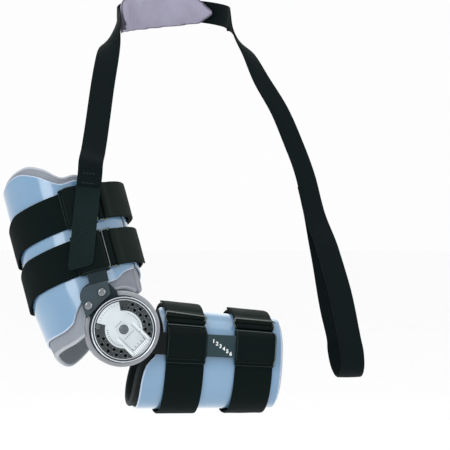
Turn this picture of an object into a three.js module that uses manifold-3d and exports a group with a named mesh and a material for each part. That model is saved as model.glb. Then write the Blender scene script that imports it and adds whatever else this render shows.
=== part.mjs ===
// Elbow brace with a hinged side bar, two arm cuffs and a sling
// Millimetres, +Z up, +X toward the hand, -Y out of the side of the arm. The hinge axis is parallel to Y.
import * as THREE from "three";
import { mergeVertices } from "three/addons/utils/BufferGeometryUtils.js";
import Module from "manifold-3d";

const wasm = await Module();
wasm.setup();

// Clearance and common sheet thicknesses
const GAP = 0.3;
const SHELL_WALL = 2.5;
const LINER_WALL = 5;
const STRAP_THICK = 2.2;
const BAR_THICK = 2.5;

// Hinge stack, from the arm outward
const FOREARM_PLATE_THICK = 3;
const BASE_PLATE_THICK = 3;
const DIAL_THICK = 5.4;
const LABEL_THICK = 0.6;
const BEZEL_HEIGHT = 2.2;
const PAD_THICK = 10.7;
const PIVOT_HEAD_HEIGHT = 2.6;
const FOREARM_PLATE_FRONT = 0;
const FOREARM_PLATE_BACK = FOREARM_PLATE_FRONT + FOREARM_PLATE_THICK;
const BASE_PLATE_BACK = FOREARM_PLATE_FRONT - GAP;
const BASE_PLATE_FRONT = BASE_PLATE_BACK - BASE_PLATE_THICK;
const DIAL_BACK = BASE_PLATE_FRONT - GAP;
const DIAL_FRONT = DIAL_BACK - DIAL_THICK;
const LABEL_BACK = DIAL_FRONT - GAP;
const LABEL_FRONT = LABEL_BACK - LABEL_THICK;
const BAR_BACK = DIAL_BACK;
const PAD_FRONT = FOREARM_PLATE_BACK + GAP;

// Hinge radii
const PAD_RADIUS = 38.5;
const PAD_ROUNDING = 3;
const FOREARM_DISC_RADIUS = 38;
const BASE_DISC_RADIUS = 34;
const ARM_ROOT_SHARE = 0.6;
const DIAL_RADIUS = 32.5;
const BEZEL_OUTER = 33;
const BEZEL_INNER = 29.5;
const LABEL_DISC_RADIUS = 19;
const LABEL_SECTOR_RADIUS = 28.3;
const LABEL_SECTOR_START = 100;
const LABEL_SECTOR_END = 166;
const LABEL_TONGUE_WIDTH = 26;
const LABEL_TONGUE_ANGLE = -45;
const PIVOT_RADIUS = 3.5;
const PIVOT_HEAD_RADIUS = 4.9;
const PIVOT_FLANGE_RADIUS = 7;
const PIVOT_FLANGE_THICK = 2;
const BEZEL_CHAMFER = 0.8;

// Rows of pin holes in the dial, staggered by half their pitch, and the two pins set in them
const HOLE_RADIUS = 1.45;
const HOLE_PITCH = 20;
const HOLE_ROWS = [
  { row: "outer", radius: 26.3, start: -10, count: 5 },
  { row: "inner", radius: 22.2, start: 0, count: 5 },
  { row: "outer", radius: 26.3, start: 194, count: 5 },
  { row: "inner", radius: 22.2, start: 204, count: 4 },
];
const STOP_PIN_RADIUS = 1.4;
const STOP_PIN_HEAD_RADIUS = 2.8;
const STOP_PIN_HEAD_HEIGHT = 1.4;
const STOP_PINS = [
  { pin: "flexion", radius: 26.3, angle: 174 },
  { pin: "extension", radius: 22.4, angle: 86 },
];
const MORE_FLEXION = 15;
const MORE_EXTENSION = 45;
const SLOT_OVERRUN = 4;

// Side bars and the riveted tab
const UPPER_BAR_WIDTH = 19.5;
const UPPER_BAR_OFFSET = -12.4;
const UPPER_BAR_BEND = 57;
const UPPER_BAR_TOP = 134;
const BAR_OVERLAP = 2;
const BAR_ROOT_BELOW_BEND = 6;
const PLATE_NECK_BELOW_BEND = 9;
const FOREARM_BAR_WIDTH = 22.6;
const FOREARM_BAR_OFFSET = -12.5;
const FOREARM_BAR_END = 158;
const FOREARM_BAR_CORNER = 2;
const TAB_ANGLE = 135;
const TAB_EDGE = DIAL_RADIUS + 1.6;
const TAB_REACH = 58;
const TAB_HIGH_SIDE = 23;
const TAB_HIGH_CUT = { along: 11, across: 6.5 };
const TAB_LOW_SIDE = -18;
const TAB_SHOULDER = { along: 3, across: -3 };
const TAB_SHOULDER_START = { along: -7, across: -9.2 };
const RIVET_ALONG = 41.6;
const RIVET_CENTRE = 1.6;
const RIVET_SPACING = 18.8;
const RIVET_RADIUS = 1.7;
const RIVET_HEAD_RADIUS = 4.5;
const RIVET_HEAD_HEIGHT = 2.4;

// Upper arm cuff: its axis tilts back from the vertical and leans away from the plane of the hinge
const UPPER_TILT = 13.5;
const UPPER_LEAN = 14;
const UPPER_CENTRE = -19;
const UPPER_FRONT = -7.5;
const UPPER_HALF_ACROSS = 58.5;
const UPPER_HALF_OUT = 58;
const UPPER_LENGTH = 170;
const UPPER_NARROWING = 5.5;
const UPPER_STRAIGHT_SHARE = 0.2;
const UPPER_NARROW_RUN_SHARE = 0.26;
const UPPER_SLIT_START = 30;
const UPPER_SLIT_END = 384;
const SHELL_HINGE_CLEARANCE = 48.5;
const LINER_HINGE_CLEARANCE = 39.7;

// Forearm cuff: nearly level, tapering toward the wrist, open along its top
const FOREARM_SLOPE = -3.5;
const FOREARM_CENTRE = -29.7;
const FOREARM_HALF_ACROSS = 56;
const FOREARM_HALF_ACROSS_WRIST = 48;
const FOREARM_HALF_OUT = 49;
const FOREARM_SQUARENESS = 2.4;
const FOREARM_LENGTH = 168.5;
const FOREARM_OPEN_START = 14;
const FOREARM_OPEN_END = 302;
const FOREARM_SHELL_CLEARANCE = 44;
const LINER_WRIST_LIP = 2;
const LINER_OPENING_LIP = 4;

// Straps, their rectangular buckles and the sleeves that hold the bars
const UPPER_STRAP_WIDTH = 37.5;
const FOREARM_STRAP_WIDTH = 39.5;
const STRAP_SAG = 2.6;
// The angles round the upper arm between which a strap falls to its lower run, and climbs back
const STRAP_FALLS = { from: 150, to: 192 };
const STRAP_CLIMBS = { from: 255, to: 330 };
const STRAP_SAG_ANGLE = 185;
const STRAP_FLAP = 3.2;
const STRAP_SETTLE = 9;
const BUCKLE_ROD = 1.6;
const BUCKLE_PITCH = 9;
const SLEEVE_WALL = 1.6;
const SLEEVE_FLARE = 1;
const SLEEVE_FLARE_HEIGHT = 0.4;
const SLEEVE_ABOVE_TAB = 7.6;
const UPPER_STRAP_PITCH = 49.64;

// Sling webbing, its hook tab and the neck pad
const SLING_WIDTH = 25;
const SLING_THICK = 1.8;
const HOOK_TAB_WIDTH = 26;
const HOOK_TAB_THICK = 2.4;
const HOOK_TAB_RIB = 0.7;
const HOOK_TAB_RIBS = 24;
const NECK_PAD_WIDTH = 46;
const NECK_PAD_THICK = 9;
const NECK = new THREE.Vector3(92, 200, 340);
const NECK_PAD_EDGE = 0.7;
const NECK_PAD_CROWN = 0.8;
const NECK_PAD_TAPER = 3.8;
const NECK_PAD_END = 0.05;
const NECK_RADIUS = 57;
const WRIST = new THREE.Vector3(247, 55, -29);
const WRIST_HALF_HEIGHT = 26;
const WRIST_HALF_DEPTH = 25;
const SEAT_HEIGHT = 76;

// Outlines of the cuffs' ends: angle round the cuff (0 front of the arm, 90 outside, 180 back of the arm)
// and the height of the edge along the axis as a share of the cuff's length
const UPPER_SHELL_TOP = [
  { angle: 30, share: 0.79 },
  { angle: 52, share: 0.81 },
  { angle: 78, share: 0.865 },
  { angle: 96, share: 0.865 },
  { angle: 117, share: 0.95 },
  { angle: 138, share: 1.0 },
  { angle: 175, share: 0.97 },
  { angle: 230, share: 0.92 },
  { angle: 300, share: 0.84 },
  { angle: 384, share: 0.79 },
];
const UPPER_LINER_TOP = [
  { angle: 30, share: 0.815 },
  { angle: 52, share: 0.84 },
  { angle: 76, share: 0.905 },
  { angle: 93, share: 0.91 },
  { angle: 110, share: 0.99 },
  { angle: 130, share: 1.035 },
  { angle: 180, share: 0.995 },
  { angle: 230, share: 0.95 },
  { angle: 300, share: 0.87 },
  { angle: 384, share: 0.815 },
];
const UPPER_SHELL_BOTTOM = [
  { angle: 30, share: 0.29 },
  { angle: 56, share: 0.245 },
  { angle: 90, share: 0.06 },
  { angle: 118, share: 0.03 },
  { angle: 135, share: 0.0 },
  { angle: 175, share: -0.005 },
  { angle: 225, share: -0.04 },
  { angle: 270, share: 0.02 },
  { angle: 320, share: 0.18 },
  { angle: 384, share: 0.3 },
];
const UPPER_LINER_BOTTOM = [
  { angle: 30, share: 0.13 },
  { angle: 60, share: 0.15 },
  { angle: 90, share: 0.0 },
  { angle: 122, share: -0.075 },
  { angle: 150, share: -0.09 },
  { angle: 190, share: -0.1 },
  { angle: 222, share: -0.14 },
  { angle: 250, share: -0.09 },
  { angle: 300, share: 0.08 },
  { angle: 340, share: 0.165 },
  { angle: 384, share: 0.15 },
];
const FOREARM_SHELL_ELBOW = [
  { angle: 14, share: 0.25 },
  { angle: 60, share: 0.22 },
  { angle: 100, share: 0.155 },
  { angle: 115, share: 0.143 },
  { angle: 172, share: 0.147 },
  { angle: 240, share: 0.17 },
  { angle: 302, share: 0.23 },
];
const FOREARM_LINER_ELBOW = [
  { angle: 14, share: 0.237 },
  { angle: 60, share: 0.2 },
  { angle: 95, share: 0.12 },
  { angle: 122, share: 0.101 },
  { angle: 172, share: 0.103 },
  { angle: 240, share: 0.13 },
  { angle: 302, share: 0.215 },
];

// Straps round the cuffs: the slant of the strap across the arm, the angle of the buckle's near rod, how far
// the free end folds back, how much lower it hangs behind the arm, and the sleeve's angles and width.
// The upper straps are placed by their steps above the hinge's tab, the forearm straps by a share of the
// cuff's length.
const UPPER_STRAPS = [
  { name: "1", step: 1, slant: 5, buckle: 66, fold: 78, drop: 10,
    sleeveFrom: 70, sleeveTo: 99, sleeveWidth: 41.5 },
  { name: "2", step: 0, slant: 5, buckle: 66, fold: 50, drop: 10,
    sleeveFrom: 70, sleeveTo: 99, sleeveWidth: 41.5 },
];
const FOREARM_STRAPS = [
  { name: "1", share: 0.3985, slant: 0, buckle: 51, fold: 50, drop: 0,
    sleeveFrom: 57, sleeveTo: 91, sleeveWidth: 41 },
  { name: "2", share: 0.8235, slant: 0, buckle: 51, fold: 50, drop: 0,
    sleeveFrom: 59, sleeveTo: 91, sleeveWidth: 42 },
];

// Basic helpers

const radians = THREE.MathUtils.degToRad;

function smoothMax(a, b, blend) {
  const half = (a - b) / blend;
  return a > b ? a + blend * Math.exp(-2 * half) / 4 : b + blend * Math.exp(2 * half) / 4;
}

// A smooth curve through the rows of an edge table, read at one angle
function readEdge(table, angle) {
  const last = table.length - 1;
  let row = 0;
  while (row < last - 1 && angle > table[row + 1].angle) {
    row += 1;
  }
  const [a, b] = [table[row], table[row + 1]];
  const before = table[Math.max(row - 1, 0)];
  const after = table[Math.min(row + 2, last)];
  const span = b.angle - a.angle;
  const slopeA = (b.share - before.share) / (b.angle - before.angle);
  const slopeB = (after.share - a.share) / (after.angle - a.angle);
  const t = (angle - a.angle) / span;
  const bend = t * (1 - t);
  const level = a.share + (b.share - a.share) * t * t * (3 - 2 * t);
  return level + bend * (slopeA * span * (1 - t) - slopeB * span * t);
}

// A closed body from points and triangles, turned to face outward
function closedBody(points, triangles) {
  let volume = 0;
  for (const [a, b, c] of triangles) {
    volume += points[a].dot(new THREE.Vector3().crossVectors(points[b], points[c]));
  }
  const index = triangles.flatMap(([a, b, c]) => (volume > 0 ? [a, b, c] : [a, c, b]));
  const geometry = new THREE.BufferGeometry();
  geometry.setAttribute("position", new THREE.Float32BufferAttribute(points.flatMap((p) => p.toArray()), 3));
  geometry.setIndex(index);
  geometry.computeVertexNormals();
  return geometry;
}

function toSolid(geometry) {
  const bare = geometry.clone();
  bare.deleteAttribute("normal");
  bare.deleteAttribute("uv");
  const welded = mergeVertices(bare, 1e-4);
  return new wasm.Manifold(new wasm.Mesh({
    numProp: 3,
    vertProperties: new Float32Array(welded.attributes.position.array),
    triVerts: new Uint32Array(welded.index.array),
  }));
}

function fromSolid(solid) {
  const mesh = solid.getMesh();
  const geometry = new THREE.BufferGeometry();
  geometry.setAttribute("position", new THREE.BufferAttribute(new Float32Array(mesh.vertProperties), 3));
  geometry.setIndex(new THREE.BufferAttribute(new Uint32Array(mesh.triVerts), 1));
  geometry.computeVertexNormals();
  return geometry;
}

// A flat plate drawn in X and Z, between a front and a back plane along Y
function plate(shape, front, back, curveSegments = 12) {
  const depth = back - front;
  const geometry = new THREE.ExtrudeGeometry(shape, { depth, bevelEnabled: false, curveSegments });
  geometry.rotateX(Math.PI / 2);
  geometry.translate(0, back, 0);
  return geometry;
}

// A round body about the Y axis: rows of radius and place along Y
function turned(rows, sides) {
  const profile = rows.map(([radius, along]) => new THREE.Vector2(radius, along));
  if (THREE.ShapeUtils.area(profile) < 0) {
    profile.reverse();
  }
  return new THREE.LatheGeometry(profile, sides);
}

function circleShape(radius, sides) {
  const shape = new THREE.Shape();
  for (let i = 0; i < sides; i += 1) {
    const turn = (2 * Math.PI * i) / sides;
    const point = [radius * Math.cos(turn), radius * Math.sin(turn)];
    if (i === 0) {
      shape.moveTo(...point);
    } else {
      shape.lineTo(...point);
    }
  }
  shape.closePath();
  return shape;
}

function polar(radius, angle) {
  return new THREE.Vector2(radius * Math.cos(radians(angle)), radius * Math.sin(radians(angle)));
}

const CUT_MARGIN = 1;

function roundHole(radius, x, z, front, back, sides = 12) {
  const cutter = plate(circleShape(radius, sides), front - CUT_MARGIN, back + CUT_MARGIN);
  cutter.translate(x, 0, z);
  return toSolid(cutter);
}

// Triangles over a flat outline and its holes, for the end caps of a skinned body
function flatCap(outline, holes = []) {
  return THREE.ShapeUtils.triangulateShape(outline, holes);
}

// Triangles across a ribbon's outline, which runs up one side and back down the other
function ribbonCap(size) {
  const cap = [];
  for (let i = 0; i < size / 2 - 1; i += 1) {
    const across = size - 1 - i;
    cap.push([i, i + 1, across - 1], [i, across - 1, across]);
  }
  return cap;
}

// Skins a stack of equal closed outlines into one body
function skin(rows, cap, loops = [rows[0].length]) {
  const points = rows.flat();
  const size = rows[0].length;
  const triangles = [];
  for (let row = 0; row < rows.length - 1; row += 1) {
    let start = 0;
    for (const count of loops) {
      for (let i = 0; i < count; i += 1) {
        const a = row * size + start + i;
        const b = row * size + start + ((i + 1) % count);
        triangles.push([a, b, b + size], [a, b + size, a + size]);
      }
      start += count;
    }
  }
  const top = (rows.length - 1) * size;
  for (const [a, b, c] of cap) {
    triangles.push([c, b, a], [top + a, top + b, top + c]);
  }
  return closedBody(points, triangles);
}

// Cuffs: an oval section carried along a straight axis

class Cuff {
  constructor({ origin, along, across, out, halfAcross, halfOut, squareness, straightFrom }) {
    Object.assign(this, { origin, along, across, out, halfAcross, halfOut, squareness, straightFrom });
  }

  // Point at a distance along the axis, an angle round it and a distance proud of the shell's outer face
  at(distance, angle, proud) {
    const c = Math.cos(radians(angle));
    const s = Math.sin(radians(angle));
    const power = 2 / this.squareness;
    const x = Math.sign(c) * Math.abs(c) ** power * (this.halfAcross(distance) + proud);
    const y = Math.sign(s) * Math.abs(s) ** power * (this.halfOut + proud);
    return this.place(distance, x, y);
  }

  // Point at a distance along the axis and flat places across and out of the section
  place(distance, x, y) {
    return this.origin.clone()
      .addScaledVector(this.along, distance)
      .addScaledVector(this.across, x)
      .addScaledVector(this.out, y);
  }

  // Distance along the axis where the wall at this angle leaves a circle round the hinge
  leavesCircle(angle, proud, radius) {
    const p = this.at(0, angle, proud);
    const a = this.along.x ** 2 + this.along.z ** 2;
    const b = p.x * this.along.x + p.z * this.along.z;
    const c = p.x ** 2 + p.z ** 2 - radius ** 2;
    const root = b * b - a * c;
    return root <= 0 ? -Infinity : (-b + Math.sqrt(root)) / a;
  }
}

function upperCuff() {
  const tilt = radians(UPPER_TILT);
  const lean = radians(UPPER_LEAN);
  const along = new THREE.Vector3(
    -Math.sin(tilt) * Math.cos(lean), Math.sin(lean), Math.cos(tilt) * Math.cos(lean));
  const across = new THREE.Vector3(Math.cos(tilt), 0, Math.sin(tilt));
  const out = new THREE.Vector3().crossVectors(across, along).negate();
  if (out.y > 0) {
    out.negate();
  }
  const origin = across.clone().multiplyScalar(UPPER_CENTRE);
  origin.y = UPPER_FRONT - out.y * UPPER_HALF_OUT;
  const straightFrom = UPPER_STRAIGHT_SHARE * UPPER_LENGTH;
  const narrowRun = UPPER_NARROW_RUN_SHARE * UPPER_LENGTH;
  const halfAcross = (distance) => {
    const below = Math.max(straightFrom - distance, 0) / narrowRun;
    return UPPER_HALF_ACROSS - UPPER_NARROWING * below;
  };
  return new Cuff({
    origin, along, across, out, halfAcross, halfOut: UPPER_HALF_OUT, squareness: 2, straightFrom,
  });
}

const STRAP_OUTER = GAP + STRAP_THICK;
const SLEEVE_BASE = STRAP_OUTER + GAP;

function forearmCuff() {
  const slope = radians(FOREARM_SLOPE);
  const along = new THREE.Vector3(Math.cos(slope), 0, Math.sin(slope));
  const across = new THREE.Vector3(-Math.sin(slope), 0, Math.cos(slope));
  const out = new THREE.Vector3(0, -1, 0);
  const origin = across.clone().multiplyScalar(FOREARM_CENTRE);
  const shellFront = FOREARM_PLATE_BACK + GAP + SLEEVE_WALL + SLEEVE_BASE;
  origin.y = shellFront + FOREARM_HALF_OUT;
  const halfAcross = (distance) => THREE.MathUtils.lerp(
    FOREARM_HALF_ACROSS, FOREARM_HALF_ACROSS_WRIST, distance / FOREARM_LENGTH);
  return new Cuff({
    origin, along, across, out, halfAcross, halfOut: FOREARM_HALF_OUT, squareness: FOREARM_SQUARENESS,
    straightFrom: FOREARM_LENGTH / 2,
  });
}

const upper = upperCuff();
const forearm = forearmCuff();

const KNEE_STEP = 3;

// A cuff wall between two offsets, from one slit edge to the other and between two end outlines
function cuffWall({ cuff, from, to, inner, outer, low, high, columns }) {
  const points = [];
  for (const proud of [inner, outer]) {
    for (let i = 0; i <= columns; i += 1) {
      const angle = THREE.MathUtils.lerp(from, to, i / columns);
      const start = low(angle, proud);
      const straight = Math.max(cuff.straightFrom, start + KNEE_STEP);
      for (const distance of [start, straight, high(angle)]) {
        points.push(cuff.at(distance, angle, proud));
      }
    }
  }
  const rows = 2;
  const side = (columns + 1) * (rows + 1);
  const id = (layer, i, j) => layer * side + i * (rows + 1) + j;
  const triangles = [];
  const quad = (a, b, c, d) => triangles.push([a, b, c], [a, c, d]);
  for (let i = 0; i < columns; i += 1) {
    for (let j = 0; j < rows; j += 1) {
      quad(id(1, i, j), id(1, i + 1, j), id(1, i + 1, j + 1), id(1, i, j + 1));
      quad(id(0, i, j), id(0, i, j + 1), id(0, i + 1, j + 1), id(0, i + 1, j));
    }
    quad(id(0, i, 0), id(0, i + 1, 0), id(1, i + 1, 0), id(1, i, 0));
    quad(id(0, i, rows), id(1, i, rows), id(1, i + 1, rows), id(0, i + 1, rows));
  }
  for (let j = 0; j < rows; j += 1) {
    quad(id(0, 0, j), id(1, 0, j), id(1, 0, j + 1), id(0, 0, j + 1));
    quad(id(0, columns, j), id(0, columns, j + 1), id(1, columns, j + 1), id(1, columns, j));
  }
  return closedBody(points, triangles);
}

const SHELL_ROUND = 6;

// The lower edge: the table's line, lifted clear of a circle round the hinge on the outer side of the arm
function lowerEdge(cuff, table, length, clearance) {
  return (angle, proud) => {
    const line = readEdge(table, angle) * length;
    const turn = angle % 360;
    if (turn > 180) {
      return line;
    }
    const circle = cuff.leavesCircle(angle, proud, clearance);
    return circle === -Infinity ? line : smoothMax(line, circle, SHELL_ROUND);
  };
}

function upperShell() {
  return cuffWall({
    cuff: upper,
    from: UPPER_SLIT_START,
    to: UPPER_SLIT_END,
    inner: -SHELL_WALL,
    outer: 0,
    low: lowerEdge(upper, UPPER_SHELL_BOTTOM, UPPER_LENGTH, SHELL_HINGE_CLEARANCE),
    high: (angle) => readEdge(UPPER_SHELL_TOP, angle) * UPPER_LENGTH,
    columns: 54,
  });
}

function upperLiner() {
  const outer = -SHELL_WALL - GAP;
  return cuffWall({
    cuff: upper,
    from: UPPER_SLIT_START,
    to: UPPER_SLIT_END,
    inner: outer - LINER_WALL,
    outer,
    low: lowerEdge(upper, UPPER_LINER_BOTTOM, UPPER_LENGTH, LINER_HINGE_CLEARANCE),
    high: (angle) => readEdge(UPPER_LINER_TOP, angle) * UPPER_LENGTH,
    columns: 54,
  });
}

function forearmShell() {
  return cuffWall({
    cuff: forearm,
    from: FOREARM_OPEN_START,
    to: FOREARM_OPEN_END,
    inner: -SHELL_WALL,
    outer: 0,
    low: lowerEdge(forearm, FOREARM_SHELL_ELBOW, FOREARM_LENGTH, FOREARM_SHELL_CLEARANCE),
    high: () => FOREARM_LENGTH,
    columns: 44,
  });
}

function forearmLiner() {
  const outer = -SHELL_WALL - GAP;
  return cuffWall({
    cuff: forearm,
    from: FOREARM_OPEN_START - LINER_OPENING_LIP,
    to: FOREARM_OPEN_END + LINER_OPENING_LIP,
    inner: outer - LINER_WALL,
    outer,
    low: lowerEdge(forearm, FOREARM_LINER_ELBOW, FOREARM_LENGTH, LINER_HINGE_CLEARANCE),
    high: () => FOREARM_LENGTH + LINER_WRIST_LIP,
    columns: 44,
  });
}

// Straps: a ribbon outline in the plane of the section, carried across the strap's width

const LOOP_RADIUS = STRAP_THICK / 2 + GAP + BUCKLE_ROD * Math.SQRT1_2 + 0.05;
const BASE_LEVEL = GAP + STRAP_THICK / 2;
const ROD_LEVEL = BASE_LEVEL + LOOP_RADIUS;
const FOLD_LEVEL = BASE_LEVEL + STRAP_THICK + GAP;

function ribbonOutline(centre, thickness) {
  const left = [];
  const right = [];
  centre.forEach((point, i) => {
    const before = centre[Math.max(i - 1, 0)];
    const after = centre[Math.min(i + 1, centre.length - 1)];
    const normal = new THREE.Vector2(before.y - after.y, after.x - before.x).normalize();
    left.push(point.clone().addScaledVector(normal, thickness / 2));
    right.unshift(point.clone().addScaledVector(normal, -thickness / 2));
  });
  return [...left, ...right];
}

function halfLoop(x, side, from, to) {
  const steps = 6;
  return Array.from({ length: steps + 1 }, (_, i) => {
    const turn = radians(THREE.MathUtils.lerp(from, to, i / steps));
    const [along, up] = [LOOP_RADIUS * Math.cos(turn), LOOP_RADIUS * Math.sin(turn)];
    return new THREE.Vector2(x + side * along, ROD_LEVEL + up);
  });
}

// A strap, its buckle and its sleeve share one map: millimetres of arc from the front of the arm,
// millimetres proud of the shell, and a share of the width across the strap
class StrapRun {
  constructor({ cuff, row, centre, width, meanRadius, sag }) {
    Object.assign(this, { cuff, row, centre, width, meanRadius, sag });
    this.nearRod = this.arc(row.buckle);
    this.farRod = this.arc(row.buckle + 360) - BUCKLE_PITCH;
  }

  arc(angle) {
    return radians(angle) * this.meanRadius;
  }

  angle(arc) {
    return THREE.MathUtils.radToDeg(arc / this.meanRadius);
  }

  drop(angle) {
    const fallen = THREE.MathUtils.smoothstep(angle, STRAP_FALLS.from, STRAP_FALLS.to);
    const climbed = THREE.MathUtils.smoothstep(angle, STRAP_CLIMBS.from, STRAP_CLIMBS.to);
    return this.row.drop * (fallen - climbed);
  }

  at(arc, proud, across) {
    const angle = this.angle(arc);
    const distance = this.centre + this.row.slant * Math.cos(radians(angle)) - this.drop(angle) + across;
    return this.cuff.at(distance, angle, proud);
  }
}

// The strap lies on the shell, turns round both rods of its buckle and folds back over itself
function strap(run) {
  const centre = [new THREE.Vector2(run.nearRod + STRAP_FLAP, ROD_LEVEL + LOOP_RADIUS)];
  centre.push(...halfLoop(run.nearRod, -1, 90, -90));
  const steps = 44;
  for (let i = 0; i <= steps; i += 1) {
    const start = run.nearRod + LOOP_RADIUS;
    const end = run.farRod - LOOP_RADIUS;
    const x = THREE.MathUtils.lerp(start, end, i / steps);
    centre.push(new THREE.Vector2(x, BASE_LEVEL + run.sag(run.angle(x))));
  }
  centre.push(...halfLoop(run.farRod, 1, -90, 90));
  const foldSteps = 8;
  for (let i = 1; i <= foldSteps; i += 1) {
    const back = (run.arc(run.row.fold) * i) / foldSteps;
    const ease = THREE.MathUtils.smoothstep(back, 0, STRAP_SETTLE);
    const level = THREE.MathUtils.lerp(ROD_LEVEL + LOOP_RADIUS, FOLD_LEVEL, ease);
    centre.push(new THREE.Vector2(run.farRod - back, level));
  }
  const outline = ribbonOutline(centre, STRAP_THICK);
  const rows = [-0.5, 0.5].map((share) => outline.map((p) => run.at(p.x, p.y, share * run.width)));
  return skin(rows, ribbonCap(outline.length));
}

// A flat rectangular frame whose two long sides are the rods inside the strap's loops
function buckle(run) {
  const half = BUCKLE_ROD / 2;
  const left = run.farRod - half - run.arc(360);
  const right = run.nearRod + half;
  const halfWidth = run.width / 2 + GAP;
  const rectangle = (x0, x1, reach) => [
    new THREE.Vector2(x0, -reach), new THREE.Vector2(x1, -reach),
    new THREE.Vector2(x1, reach), new THREE.Vector2(x0, reach),
  ];
  const outside = rectangle(left, right, halfWidth + BUCKLE_ROD);
  const inside = rectangle(left + BUCKLE_ROD, right - BUCKLE_ROD, halfWidth).reverse();
  const rows = [ROD_LEVEL - half, ROD_LEVEL + half].map(
    (proud) => [...outside, ...inside].map((p) => run.at(p.x, proud, p.y)));
  return skin(rows, flatCap(outside, [inside]), [outside.length, inside.length]);
}

// A padded sleeve over a bar: it lies on the strap, arches over the bar and has a channel for it
function sleeve(run, bar) {
  const { row, cuff } = run;
  const halfWidth = row.sleeveWidth / 2;
  const steps = 6;
  const bed = [];
  for (let i = 0; i <= steps; i += 1) {
    bed.push(THREE.MathUtils.lerp(row.sleeveFrom, row.sleeveTo, i / steps));
  }
  const section = (distance) => {
    const flat = (point) => {
      const offset = point.clone().sub(cuff.origin).addScaledVector(cuff.along, -distance);
      return new THREE.Vector2(offset.dot(cuff.across), offset.dot(cuff.out));
    };
    const base = bed.map((angle) => flat(cuff.at(distance, angle, SLEEVE_BASE)));
    const flank = (angle) => flat(cuff.at(distance, angle, SLEEVE_BASE + SLEEVE_WALL));
    const centre = bar.centre(distance);
    const [low, high] = [bar.back(distance), bar.front(distance)];
    const reach = bar.width / 2 + GAP;
    const shoulder = reach + SLEEVE_WALL;
    const arch = [
      flank(row.sleeveTo),
      new THREE.Vector2(centre - shoulder - SLEEVE_FLARE, low + SLEEVE_FLARE_HEIGHT),
      new THREE.Vector2(centre - reach, high + GAP + SLEEVE_WALL),
      new THREE.Vector2(centre + reach, high + GAP + SLEEVE_WALL),
      new THREE.Vector2(centre + shoulder + SLEEVE_FLARE, low + SLEEVE_FLARE_HEIGHT),
      flank(row.sleeveFrom),
    ];
    const channel = [
      new THREE.Vector2(centre - reach, low - GAP), new THREE.Vector2(centre - reach, high + GAP),
      new THREE.Vector2(centre + reach, high + GAP), new THREE.Vector2(centre + reach, low - GAP),
    ];
    return { outline: [...base, ...arch].reverse(), channel };
  };
  const ends = [run.centre - halfWidth, run.centre + halfWidth];
  const sections = ends.map(section);
  const rows = sections.map((each, i) => [...each.outline, ...each.channel].map(
    (p) => cuff.place(ends[i], p.x, p.y)));
  const { outline, channel } = sections[0];
  return skin(rows, flatCap(outline, [channel]), [outline.length, channel.length]);
}

// Bars

// In the plane of the hinge: distance along the upper bar and place across it
function barPoint(along, across) {
  const tilt = radians(UPPER_TILT);
  return new THREE.Vector2(
    -Math.sin(tilt) * along + Math.cos(tilt) * across,
    Math.cos(tilt) * along + Math.sin(tilt) * across);
}

// In the plane of the hinge: distance out along the tab and place across it
function tabPoint(along, across) {
  const turn = radians(TAB_ANGLE);
  return new THREE.Vector2(
    Math.cos(turn) * along + Math.sin(turn) * across,
    Math.sin(turn) * along - Math.cos(turn) * across);
}

const rivetPlaces = [1, -1].map((side) => tabPoint(RIVET_ALONG, RIVET_CENTRE + (side * RIVET_SPACING) / 2));

function tabShape(edge, neckAlong) {
  const half = UPPER_BAR_WIDTH / 2;
  const corners = [
    tabPoint(edge, TAB_HIGH_SIDE - TAB_HIGH_CUT.across), tabPoint(edge + TAB_HIGH_CUT.along, TAB_HIGH_SIDE),
    barPoint(neckAlong, UPPER_BAR_OFFSET + half), barPoint(neckAlong, UPPER_BAR_OFFSET - half),
  ];
  const shoulder = tabPoint(TAB_REACH + TAB_SHOULDER.along, TAB_SHOULDER.across);
  const side = tabPoint(TAB_REACH + TAB_SHOULDER_START.along, TAB_SHOULDER_START.across);
  const shape = new THREE.Shape();
  shape.moveTo(...corners[0].toArray());
  for (const corner of corners.slice(1)) {
    shape.lineTo(...corner.toArray());
  }
  shape.quadraticCurveTo(...shoulder.toArray(), ...side.toArray());
  shape.lineTo(...tabPoint(edge, TAB_LOW_SIDE).toArray());
  shape.closePath();
  return shape;
}

// How far the upper bar lies behind the plane of the hinge, this far along it
function barSetBack(along) {
  return Math.max(along - UPPER_BAR_BEND, 0) * Math.tan(radians(UPPER_LEAN));
}

// The same bar in the upper cuff's own section: place across, back face and front face
function upperBarInCuff() {
  const alongBar = (distance) => {
    const start = upper.place(distance, 0, UPPER_HALF_OUT);
    return -Math.sin(radians(UPPER_TILT)) * start.x + Math.cos(radians(UPPER_TILT)) * start.z;
  };
  const place = (distance, thick) => {
    const along = alongBar(distance);
    const spot = barPoint(along, UPPER_BAR_OFFSET);
    const point = new THREE.Vector3(spot.x, BAR_BACK - thick + barSetBack(along), spot.y);
    return point.sub(upper.origin).addScaledVector(upper.along, -distance);
  };
  return {
    width: UPPER_BAR_WIDTH,
    distanceAt: (along) => (along - alongBar(0)) / (alongBar(1) - alongBar(0)),
    centre: (distance) => place(distance, 0).dot(upper.across),
    back: (distance) => place(distance, 0).dot(upper.out),
    front: (distance) => place(distance, BAR_THICK).dot(upper.out),
  };
}

const forearmBarInCuff = {
  width: FOREARM_BAR_WIDTH,
  centre: () => FOREARM_BAR_OFFSET - FOREARM_CENTRE,
  back: () => forearm.origin.y - FOREARM_PLATE_BACK,
  front: () => forearm.origin.y - FOREARM_PLATE_FRONT,
};

function rivetHoles(front, back) {
  return rivetPlaces.map((spot) => roundHole(RIVET_RADIUS + GAP, spot.x, spot.y, front, back));
}

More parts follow.
